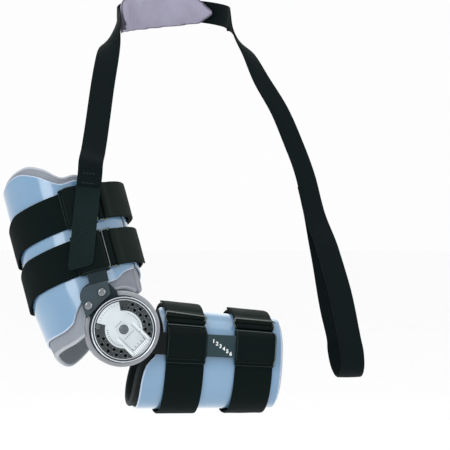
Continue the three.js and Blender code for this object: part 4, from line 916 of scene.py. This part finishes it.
def sling_stations():
    """Places along the webbing's middle line, each with the way its outer face looks"""
    sewn_across = TAB_HIGH[1] + (TAB_LOW[1] - TAB_HIGH[1]) * TAB_SEWN / (TAB_HIGH[0] - TAB_LOW[0])
    places = [over_sleeves(TAB_HIGH[0] - TAB_SEWN, sewn_across, STRAP_LIFT),
              over_sleeves(TAB_HIGH[0], TAB_HIGH[1], STRAP_LIFT),
              over_sleeves(TAB_HIGH[0] + 9, TAB_HIGH[1] + 3, STRAP_LIFT + 1.2)]
    faces = [upper.out] * 3
    # Up in front of the shoulder
    rows = [(-25, 34, 181, -.05, -1, .3), (-17.2, 60, 213, -.05, -1, .4), (-10, 80, 243, -.1, -1, .45),
            (-3.3, 100, 272, -.15, -1, .6), (2.6, 119, 292, -.4, -.8, .6), (11, 145, 312, -.85, -.25, .4)]
    # Round the neck over the pad
    lift = PAD_THICK + 2 * GAP + SLING_THICK / 2
    around = [(turn, pad_rise(turn), lift) for turn in np.linspace(180, PAD_TURN[1] - 2, 13)]
    for turn, rise, proud in around + [(15, 1, lift * 0.5), (-4, -7, GAP + SLING_THICK / 2)]:
        c, s = math.cos(rad(turn)), math.sin(rad(turn))
        reach = NECK_RADIUS + proud
        rows.append((NECK[0] + reach * c, NECK[1] + reach * s, NECK[2] + rise, c, s, 0))
    # Down to the wrist
    rows += [(157, 188, 314, .9, -.35, .35), (168, 178, 296, .65, -.65, .45), (181, 166, 266, .45, -.85, .3),
             (199, 153, 230, .4, -.9, .15), (213, 144, 193, .35, -.93, .05), (222, 132, 159, .3, -.95, .1),
             (229, 116, 116, .15, -.97, .25), (235.5, 84, 78, .05, -.95, .3), (240.5, 57, 38, 0, -.95, .35)]
    # Round the wrist and back up to the seam
    for turn in (150, 180, 215, 245, 270, 295, 325, 360, 385):
        c, s = math.cos(rad(turn)), math.sin(rad(turn))
        y = WRIST[1] + (WRIST_HALF[1] + GAP + SLING_THICK / 2) * c
        z = WRIST[2] + (WRIST_HALF[0] + GAP + SLING_THICK / 2) * s
        rows.append((WRIST[0] - 0.12 * (z - WRIST[2]), y, z, 0, c, s))
    seam = SLING_THICK + GAP
    rows += [(241, 88, 12, 0, 1, 0), (238, 100, 44, 0, 1, -.1), (235, 113, 78, 0, 1, -.15),
             (230, 119 + seam, 116, -.15, .97, -.25), (225, 130 + seam, 147, -.25, .95, -.15)]
    rows = np.array(rows, float)
    return np.vstack([places, rows[:, :3]]), np.vstack([faces, unit(rows[:, 3:])])


def along_stations(values, shares):
    """Four stations round each share of the way, and the place between the middle two"""
    last = len(values) - 1
    p = np.vstack([2 * values[:1] - values[1:2], values, 2 * values[-1:] - values[-2:-1]])
    for share in shares:
        i = min(int(share * last), last - 1)
        yield p[i:i + 4], share * last - i


def even_curve(q, t):
    return 0.5 * (2 * q[1] + (q[2] - q[0]) * t + (2 * q[0] - 5 * q[1] + 4 * q[2] - q[3]) * t ** 2
                  + (3 * q[1] - q[0] - 3 * q[2] + q[3]) * t ** 3)


def cupping(across):
    """How far the webbing's middle stands proud of its edges"""
    return 0.35 * (1 - (2 * across / SLING_WIDTH) ** 2)


def sling_mesh():
    places, faces = sling_stations()
    shares = np.linspace(0, 1, 620)
    middle = np.array([catmull_rom(q, t) for q, t in along_stations(places, shares)])
    face = np.array([even_curve(q, t) for q, t in along_stations(faces, shares)])
    along = unit(np.gradient(middle, axis=0))
    face = unit(face - along * (face * along).sum(1)[:, None])
    side = np.cross(along, face)
    ring = band_section(SLING_WIDTH, SLING_THICK, 0.7, 16)
    length = reach_along(middle)
    wander = 0.25 * np.sin(length / 31.0) + 0.2 * np.sin(length / 13.0 + 1.0)
    points = (middle[:, None] + side[:, None] * (ring[None, :, 0] + wander[:, None])[..., None]
              + face[:, None] * (ring[:, 1] + cupping(ring[:, 0]))[None, :, None])
    dress(grid_object("sling_webbing_strap", points), "webbing", "upper_arm", ["sling_strap"], "webbing")
    return middle, face, side, length


def hook_tab_mesh():
    steps = TAB_RIBS * 8
    t = np.linspace(0, 1, steps + 1)
    length = (TAB_HIGH[0] - TAB_LOW[0]) * t
    shift = TAB_LOW[1] + (TAB_HIGH[1] - TAB_LOW[1]) * t
    rib = 0.5 * (1 - np.cos(2 * math.pi * t * TAB_RIBS))
    rounding = corner_cut(length, 5.0)
    rows = []
    for i in range(steps + 1):
        half = TAB_WIDTH / 2 - rounding[i] * 0.9
        top = TAB_GROUND + 0.6 * rib[i]
        xs = np.linspace(-half + 0.4, half - 0.4, 18)
        wobble = 0.12 * np.sin(xs * 0.9 + i * 0.35) + 0.08 * np.sin(xs * 2.3 - i * 0.2)
        ring = np.array([*zip(xs, top + wobble), (half, top - 0.5), (half, 0.4),
                         *((x, 0.05) for x in xs[::-1]), (-half, 0.4), (-half, top - 0.5)])
        place = over_sleeves(TAB_LOW[0] + length[i], shift[i], 0.0)
        rows.append(place + ring[:, :1] * upper.across + ring[:, 1:] * upper.out)
    dress(grid_object("hook_tape_tab", np.array(rows)), "tab", "upper_arm", ["sling_tab"], "tab")


sling_middle, sling_face, sling_side, sling_length = sling_mesh()
hook_tab_mesh()
for number, place in enumerate(SEWN_PLACES):
    i = int(np.searchsorted(sling_length, place))
    across = np.linspace(-8.0, 8.0, 12)[:, None]
    line = sling_middle[i] + sling_side[i] * across + sling_face[i] * (SLING_THICK / 2 + cupping(across))
    face = np.repeat(sling_face[i][None], 12, 0)
    stitch_row(f"sling_tab_sewing_{number}", line, face, "upper_arm", "webbing")


# Neck pad

def puffed(obj, voxel, pressure, cap):
    """Fills a closed soft form by cloth simulation: remeshed, blown out, and held to a largest move"""
    bpy.context.view_layer.update()
    remesh = obj.modifiers.new("remesh", "REMESH")
    remesh.mode = "VOXEL"
    remesh.voxel_size = voxel
    apply_modifiers(obj)
    start = vertex_places(obj.data)
    cloth = obj.modifiers.new("cloth", "CLOTH")
    settings = cloth.settings
    settings.quality = 6
    settings.mass = 0.2
    settings.tension_stiffness = 12.0
    settings.compression_stiffness = 12.0
    settings.bending_stiffness = 0.6
    settings.use_pressure = True
    settings.uniform_pressure_force = pressure
    settings.effector_weights.gravity = 0.0
    cloth.collision_settings.use_collision = False
    for number in range(1, 21):
        bpy.context.scene.frame_set(number)
    move = vertex_places(obj.evaluated_get(bpy.context.evaluated_depsgraph_get()).data) - start
    obj.modifiers.clear()
    bpy.context.scene.frame_set(1)
    move *= np.minimum(1.0, cap / np.maximum(np.linalg.norm(move, axis=1)[:, None], 1e-9))
    obj.data.vertices.foreach_set("co", (start + move).ravel())
    obj.data.update()


def pad_section(turn, outward_share, height_share):
    """A point of the pad's space: its place across its thickness and its height, each -1 to 1"""
    outward = np.array([math.cos(rad(turn)), math.sin(rad(turn)), 0.0])
    reach = NECK_RADIUS + GAP + PAD_THICK / 2 + outward_share * PAD_THICK / 2
    return NECK + outward * reach + np.array([0, 0, pad_rise(turn) + height_share * PAD_WIDTH / 2])


def round_neck(place):
    """Each point's offset from the neck's middle, and its turn round it"""
    offset = place[:, :2] - NECK[:2]
    turn = np.degrees(np.arctan2(offset[:, 1], offset[:, 0]))
    return offset, np.where(turn < -60, turn + 360, turn)


def neck_pad_mesh():
    ring_angle = np.linspace(0, 2 * math.pi, 40, endpoint=False)
    c, s = np.cos(ring_angle), np.sin(ring_angle)
    thick, high = np.sign(c) * np.abs(c) ** 0.75, np.sign(s) * np.abs(s) ** 0.8
    rows = []
    for t in np.arange(91) / 90:
        turn = PAD_TURN[0] + (PAD_TURN[1] - PAD_TURN[0]) * t
        ends = math.sqrt(min(1, 0.05 + 3.8 * t * (1 - t))) * (0.3 + 0.7 * min(1, min(t, 1 - t) / 0.11) ** 0.8)
        rows.append([pad_section(turn, 0.8 * a * max(ends, 0.34), 0.965 * b * ends)
                     for a, b in zip(thick, high)])
    obj = grid_object("neck_pad_cover", np.array(rows))
    puffed(obj, 0.0026, 4.0, 0.0011)
    # Sewn channels across the pad, kept inside the pad's space
    place = vertex_places(obj.data) * 1000 + SEAT
    offset, turn = round_neck(place)
    radius = np.linalg.norm(offset, axis=1)
    middle = NECK_RADIUS + GAP + PAD_THICK / 2
    t = (turn - PAD_TURN[0]) / (PAD_TURN[1] - PAD_TURN[0])
    channel = 1 - 0.16 * np.exp(-(((t * 9) % 1 - 0.5) / 0.06) ** 2)
    new_radius = middle + np.clip((radius - middle) * channel, -PAD_THICK * 0.49, PAD_THICK * 0.49)
    place[:, :2] = NECK[:2] + offset * (new_radius / radius)[:, None]
    obj.data.vertices.foreach_set("co", metres(place).ravel())
    obj.modifiers.new("smooth", "SUBSURF").levels = 1
    apply_modifiers(obj)
    obj.data.shade_smooth()
    dress(obj, "pad", "upper_arm", ["neck_pad"], "neck")
    # The bound seam round the pad's edge, with its stitches, on the filled form
    place = vertex_places(obj.data) * 1000 + SEAT
    _, turn = round_neck(place)
    for side, sign in (("upper", 1), ("lower", -1)):
        line = []
        for at in np.linspace(PAD_TURN[0] - 1.5, PAD_TURN[1] + 1.5, 110):
            near = place[np.abs(turn - at) < 2.0]
            crest = near[np.argsort(near[:, 2] * sign)[-4:]].mean(0)
            outward = np.array([math.cos(rad(at)), math.sin(rad(at))])
            line.append((*(NECK[:2] + outward * np.linalg.norm(crest[:2] - NECK[:2])), crest[2]))
        line = np.array(line)
        for _ in range(3):
            line[1:-1] = (line[:-2] + 2 * line[1:-1] + line[2:]) / 4
        line[:, 2] -= sign * 0.35
        seam = tube_mesh(f"neck_pad_seam_{side}", line, 0.8, 10)
        dress(seam, "pad", "upper_arm", [], "pad_seam")
        face = np.repeat(np.array([[0.0, 0.0, sign]]), len(line), 0)
        stitch_row(f"neck_pad_stitches_{side}", line + face * 0.7, face, "upper_arm", "pad", "pad_thread")


neck_pad_mesh()


# Hinge hardware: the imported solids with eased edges

def eased(name, node, body, slot, key, width):
    """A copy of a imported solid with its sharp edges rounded; the edge attribute is 1 along the rounding"""
    obj = link(bpy.data.objects.new(name, NODES[node].data.copy()))
    obj.data.materials.clear()
    bm = bmesh.new()
    bm.from_mesh(obj.data)
    bmesh.ops.remove_doubles(bm, verts=bm.verts, dist=1e-6)
    bmesh.ops.dissolve_limit(bm, angle_limit=rad(1.0), verts=bm.verts, edges=bm.edges)
    sharp = [e for e in bm.edges if e.is_manifold and e.calc_face_angle(0.0) > rad(30)]
    made = bmesh.ops.bevel(bm, geom=sharp, offset=width * 0.001, offset_type="OFFSET", segments=2,
                           profile=0.5, affect="EDGES", clamp_overlap=True)
    rounding = set(made["faces"])
    layer = bm.verts.layers.float.new("edge")
    for vertex in bm.verts:
        vertex[layer] = 1.0 if all(face in rounding for face in vertex.link_faces) else 0.0
    bm.to_mesh(obj.data)
    bm.free()
    smooth_by_angle(obj, 35)
    return dress(obj, slot, body, [node], key)


for name, node, body, slot, key, width in (
        ("upper_bar_plate", "upper_bar", "upper_arm", "plate", "plate", 0.4),
        ("hinge_base_plate", "hinge_plate", "upper_arm", "plate", "plate", 0.4),
        ("forearm_bar_plate", "forearm_bar", "forearm", "plate", "bar", 0.7),
        ("dial_disc_body", "dial_disc", "upper_arm", "dial", "dial", 0.25),
        ("dial_label_plate", "dial_label", "upper_arm", "label", "label", 0.12),
        ("hinge_pad_disc", "hinge_pad", "upper_arm", "foam", "pad", 0.6)):
    piece = eased(name, node, body, slot, key, width)


def turned(name, rows, sides, centre, body, slot, replaced, *keys, ring=False, second_rows=()):
    """A round body about the hinge's direction: rows of radius and place along Y; a ring closes on itself"""
    turns = np.linspace(0, 2 * math.pi, sides, endpoint=False)
    rows = np.asarray(rows, float)
    radius, along = np.maximum(rows[:, :1], 0.01), np.repeat(rows[:, 1:], sides, 1)
    points = np.stack([centre[0] + radius * np.cos(turns), along, centre[1] + radius * np.sin(turns)], -1)
    obj = grid_object(name, points, wrap_rows=ring, edge=np.zeros(points.shape[:2]),
                      material=lambda i, j: i in second_rows)
    smooth_by_angle(obj, 40)
    dress(obj, slot, body, replaced, *keys)


def polar(radius, angle):
    return np.array([radius * math.cos(rad(angle)), radius * math.sin(rad(angle))])


DIAL_FRONT = -9.0
LABEL_FRONT = -9.9
BEZEL_BACK = -9.3
TAB_ANGLE = 135
TAB_LIGHT_LAYER = {"front": -6.33, "back": -6.08, "ease": 0.22}
RIVET_ALONG = 41.6
RIVET_CENTRE = 1.6
RIVET_SPACING = 18.8


def tab_point(along, across):
    c, s = polar(1.0, TAB_ANGLE)
    return np.array([c * along + s * across, s * along - c * across])


def inset(outline, amount):
    """A flat outline drawn in by an amount, its corners kept"""
    before, after = np.roll(outline, 1, 0), np.roll(outline, -1, 0)
    a, b = unit(outline - before), unit(after - outline)
    turn = np.sign(np.sum(outline[:, 0] * after[:, 1] - after[:, 0] * outline[:, 1]))
    na, nb = (turn * np.stack([-v[:, 1], v[:, 0]], 1) for v in (a, b))
    return outline + (na + nb) / (1 + (na * nb).sum(1))[:, None] * amount


def tab_painted_light_mesh():
    """Painted light on the riveted tab: a thin layer of paler paint under the rivets' heads, while the bar's
    neck keeps the darker, shaded tone
    """
    outline = [tab_point(34.4, 16.3), tab_point(45.1, 22.6), bar_point(51.0, UPPER_BAR["offset"] + 9.4)]
    outline += [(1 - t) ** 2 * bar_point(51.0, UPPER_BAR["offset"] - 9.4)
                + 2 * t * (1 - t) * tab_point(61.0, -3.0)
                + t * t * tab_point(51.0, -9.0) for t in np.linspace(0, 1, 14)]
    outline = np.array(outline + [tab_point(34.4, -17.4)])
    front, back, ease = TAB_LIGHT_LAYER["front"], TAB_LIGHT_LAYER["back"], TAB_LIGHT_LAYER["ease"]
    verts, edge = [], []
    for amount, level in ((0.0, back), (0.0, front + ease), (ease * 0.35, front + ease * 0.3), (ease, front)):
        verts += [metres((x, level, z)) for x, z in inset(outline, amount)]
        edge += [1.0 if front < level < back else 0.0] * len(outline)
    obj = make_object("tab_painted_light_layer", verts, tube_faces(0, 4, len(outline)))
    set_edge(obj.data, edge)
    smooth_by_angle(obj, 35)
    dress(obj, "plate", "upper_arm", [], "tab_face")


tab_painted_light_mesh()

# Centre rivet: a shallow dome with a dimple, and a flanged tail
turned("centre_rivet_head", [
    (0.0, -12.0), (1.5, -12.1), (2.6, -12.55), (3.6, -12.35), (4.5, -11.6), (4.9, -10.6), (4.9, -10.2),
    (3.5, LABEL_FRONT - 0.3), (3.5, 3.3), (7.0, 3.3), (7.0, 5.2), (0.0, 5.3)],
       40, (0, 0), "upper_arm", "rivet", ["centre_rivet"], "rivet")
turned("centre_rivet_washer", [(3.9, -9.95), (3.9, -10.1), (5.6, -10.1), (5.9, -9.95)],
       48, (0, 0), "upper_arm", "rivet", [], "bezel", ring=True)

# Stop pins
PIN_SEAT = DIAL_FRONT - GAP
for number, (radius, angle, key) in enumerate(((26.3, 174, "rivet"), (22.4, 86, "dial")), 1):
    turned(f"stop_pin_{number}_head", [
        (0.0, PIN_SEAT - 1.1), (1.0, PIN_SEAT - 1.1), (1.2, PIN_SEAT - 1.4), (2.3, PIN_SEAT - 1.4),
        (2.8, PIN_SEAT - 0.9), (2.8, PIN_SEAT), (1.4, PIN_SEAT), (1.4, 2.7), (0.0, 2.7)],
           28, polar(radius, angle), "upper_arm", "dial", [f"stop_pin_{number}"], key)

# Tab rivets: domed heads on short shanks
RIVET_SEAT = BAR_BACK - BAR_THICK - GAP
head = [(4.5 * math.sin(a), RIVET_SEAT - 2.5 * math.cos(a) ** 0.9)
        for a in np.radians(np.linspace(2, 90, 14))]
for number, side in enumerate((1, -1), 1):
    spot = tab_point(RIVET_ALONG, RIVET_CENTRE + side * RIVET_SPACING / 2)
    turned(f"tab_rivet_{number}_head", head + [(1.7, RIVET_SEAT), (1.7, -0.3), (0.0, -0.3)],
           40, spot, "upper_arm", "rivet", [f"tab_rivet_{number}"], "chrome")

# Bezel: a dark clear ring between two bright lines
turned("dial_bezel_ring", [
    (29.5, BEZEL_BACK), (33.0, BEZEL_BACK), (33.0, -10.9), (32.75, -11.35), (32.3, -11.5), (31.9, -11.3),
    (31.8, -11.0), (30.4, -10.5), (30.2, -10.75), (29.9, -10.8), (29.5, -10.6)],
       160, (0, 0), "upper_arm", "bezel", ["dial_bezel"], "bezel", "dial", ring=True, second_rows=(6, 10, 0))

# Skirt: the pale ring round the dial, a thin cap over the rim of the forearm bar's disc
turned("hinge_skirt", [
    (24.0, -0.03), (24.0, -0.24), (37.4, -0.24), (37.9, -0.18), (38.2, 0.1), (38.35, 0.8), (38.35, 3.1),
    (38.05, 3.1), (38.05, -0.03)], 160, (0, 0), "forearm", "foam", [], "skirt", ring=True)


# Print, frames and studs on the dial

class Marks:
    """Small raised bars and rings gathered into one piece"""
    def __init__(self):
        self.verts, self.faces = [], []

    def bar(self, centre, size, turn, front, back):
        c, s = polar(1.0, turn)
        self.faces += tube_faces(len(self.verts), 3, 4)
        for depth, drawn_in in ((back, 0.0), (front + 0.06, 0.0), (front, min(size) * 0.22)):
            for x, y in ((-1, -1), (1, -1), (1, 1), (-1, 1)):
                u, v = x * (size[0] / 2 - drawn_in), y * (size[1] / 2 - drawn_in)
                self.verts.append(metres((centre[0] + c * u - s * v, depth, centre[1] + s * u + c * v)))

    def ring(self, centre, inner, outer, front, back, sides=20):
        rows = ((inner, back), (inner + 0.05, front), ((inner + outer) / 2, front - 0.05),
                (outer - 0.05, front), (outer, back))
        base = len(self.verts)
        for i, (radius, level) in enumerate(rows):
            here, there = base + i * sides, base + (i + 1) % len(rows) * sides
            for j in range(sides):
                x, z = centre + polar(radius, 360 * j / sides)
                k = (j + 1) % sides
                self.verts.append(metres((x, level, z)))
                self.faces.append((here + j, here + k, there + k, there + j))

    def finish(self, name, slot, key, smooth=False):
        dress(make_object(name, self.verts, self.faces, smooth), slot, "upper_arm", [], key)


PRINT_DEPTHS = (LABEL_FRONT - 0.12, LABEL_FRONT + 0.02)
RAIL_DEPTHS = (LABEL_FRONT - 0.5, LABEL_FRONT + 0.02)
FRAME_TURN = -45
HOLE_ROWS = ((26.3, -10, 5), (22.2, 0, 5), (26.3, 194, 5), (22.2, 204, 4))
HOLE_PITCH = 20
STUD_ROWS = ((20.3, 0), (24.3, 5), (28.4, 0))


def frame_point(along, across):
    c, s = polar(1.0, FRAME_TURN)
    return c * along - s * across, s * along + c * across


def dial_marks():
    dark, pale = Marks(), Marks()
    for angle in (*np.arange(-8, 82, 7.5), *np.arange(182, 268, 7.5)):
        dark.bar(polar(16.4, angle), (1.5, 0.55), angle, *PRINT_DEPTHS)
    for angle in np.arange(104, 164, 7.0):
        dark.bar(polar(25.6, angle), (1.6, 0.4), angle, *PRINT_DEPTHS)
    for side in (-1, 1):
        pale.bar(frame_point(13.0, 11.2 * side), (22.0, 1.0), FRAME_TURN, *RAIL_DEPTHS)
        dark.bar(frame_point(12.0, 8.6 * side), (20.0, 0.35), FRAME_TURN, *PRINT_DEPTHS)
    for step, across in enumerate(np.arange(-8.0, 8.1, 2.0)):
        pale.bar(frame_point(24.6, across), (3.6, 1.0), FRAME_TURN, *RAIL_DEPTHS)
        if step % 2 == 0:
            dark.bar(frame_point(20.4, across), (2.2, 0.5), FRAME_TURN, *PRINT_DEPTHS)
    for along, size in ((22.2, (0.4, 18.0)), (-7.5, (0.35, 9.0)), (7.8, (0.35, 13.0))):
        dark.bar(frame_point(along, 0.0), size, FRAME_TURN, *PRINT_DEPTHS)
    dark.finish("dial_print_marks", "label", "mark")
    pale.finish("dial_frame_rails", "label", "white")


def dial_grid():
    """Near-black rings round the pin holes, painted shade that makes them look wider, with pale rims round
    them, and small studs between them
    """
    rims, hole_shade_rings, studs = Marks(), Marks(), Marks()
    back = DIAL_FRONT + 0.1
    for radius, start, count in HOLE_ROWS:
        for i in range(count):
            spot = polar(radius, start + i * HOLE_PITCH)
            # A near-black ring round each hole: painted shade
            hole_shade_rings.ring(spot, 1.35, 2.0, DIAL_FRONT - 0.08, back)
            rims.ring(spot, 2.0, 2.25, DIAL_FRONT - 0.16, back)
    for start in (-16, 188):
        for i in range(9):
            angle = start + 10 + i * HOLE_PITCH / 2 + 0.5
            for radius, shift in STUD_ROWS:
                studs.bar(polar(radius, angle + shift), (0.8, 0.8), angle, DIAL_FRONT - 0.16, back)
    rims.finish("dial_hole_rims", "dial", "rim", True)
    hole_shade_rings.finish("dial_hole_shade_rings", "dial", "socket", True)
    studs.finish("dial_grid_studs", "dial", "rim")


dial_marks()
dial_grid()

# Plain figures in a slanting row on the forearm bar, each turned a little
FIGURE_DEPTH = -0.06
FIGURE_TURN = -4
FIGURE_SIZE = 0.0053
FIGURE_EXTRUDE = 0.00008
FIGURE_SWELL = 0.00017
FIGURE_FIRST = (93.6, -13.6)
FIGURE_RUN = (17.6, -13.2)
for number in range(6):
    name = f"length_figure_{number + 1}"
    curve = bpy.data.curves.new(name, "FONT")
    curve.body = str(number + 1)
    curve.size = FIGURE_SIZE
    curve.extrude = FIGURE_EXTRUDE
    curve.offset = FIGURE_SWELL
    curve.align_x = "CENTER"
    curve.align_y = "CENTER"
    temporary = link(bpy.data.objects.new(name + "_curve", curve))
    graph = bpy.context.evaluated_depsgraph_get()
    mesh = bpy.data.meshes.new_from_object(temporary.evaluated_get(graph))
    bpy.data.objects.remove(temporary)
    t = number / 5
    mesh.transform(Matrix.Rotation(rad(FIGURE_TURN), 4, "Z"))
    mesh.transform(Matrix.Rotation(rad(90), 4, "X"))
    x, z = (first + run * t for first, run in zip(FIGURE_FIRST, FIGURE_RUN))
    mesh.transform(Matrix.Translation(Vector(metres((x, FIGURE_DEPTH, z)))))
    dress(link(bpy.data.objects.new(name, mesh)), "label", "forearm", [], "white")


# Camera, floor and light

CAMERA_TURN = 11.5
CAMERA_PLACE = (-259.69, -1794.04, 104.5)
FLOOR_HEIGHT = -0.42
FLOOR_RADIUS = 30.0

camera_data = bpy.data.cameras.new("camera")
camera_data.lens = 144.0
camera_data.sensor_width = 36.0
camera_data.sensor_fit = "HORIZONTAL"
camera_data.clip_end = 100.0
camera = link(bpy.data.objects.new("camera", camera_data))
camera.location = metres(CAMERA_PLACE)
camera.rotation_euler = (rad(90), 0, -rad(CAMERA_TURN))
bpy.context.scene.camera = camera

floor_mesh = bpy.data.meshes.new("floor")
floor_bm = bmesh.new()
bmesh.ops.create_circle(floor_bm, cap_ends=True, segments=64, radius=FLOOR_RADIUS)
floor_bm.to_mesh(floor_mesh)
floor_bm.free()
floor = link(bpy.data.objects.new("floor", floor_mesh))
floor.location = (0, 0, FLOOR_HEIGHT)
paper = Nodes("floor_paper")
floor_mesh.materials.append(
    paper.finish(paper.mix(paper.noise(2.0, 3.0), (251, 251, 252), (254, 254, 254)), 0.9))

world = bpy.data.worlds.new("studio")
bpy.context.scene.world = world
world.use_nodes = True
background = world.node_tree.nodes["Background"]
background.inputs["Color"].default_value = (0.985, 0.985, 0.99, 1.0)
background.inputs["Strength"].default_value = 1.0
for name, place, target, size, power in (
        ("key_left", (-1.15, -1.4, 0.9), (0.0, 0.0, 0.05), (0.75, 1.3), 12.0),
        ("fill_right", (1.3, -1.2, 0.4), (0.1, 0.0, 0.0), (0.5, 1.2), 4.0),
        ("top", (0.1, -0.2, 1.6), (0.1, 0.0, 0.0), (1.2, 1.0), 4.5),
        ("back", (0.3, 1.5, 0.9), (0.1, 0.0, 0.1), (1.2, 1.0), 4.5)):
    light = bpy.data.lights.new(name, "AREA")
    light.shape = "RECTANGLE"
    light.size, light.size_y = size
    light.energy = power
    lamp = link(bpy.data.objects.new(name, light))
    lamp.location = place
    lamp.rotation_euler = (Vector(target) - Vector(place)).to_track_quat("-Z", "Y").to_euler()

bpy.context.scene.view_settings.view_transform = "Standard"
bpy.context.scene.view_settings.look = "None"
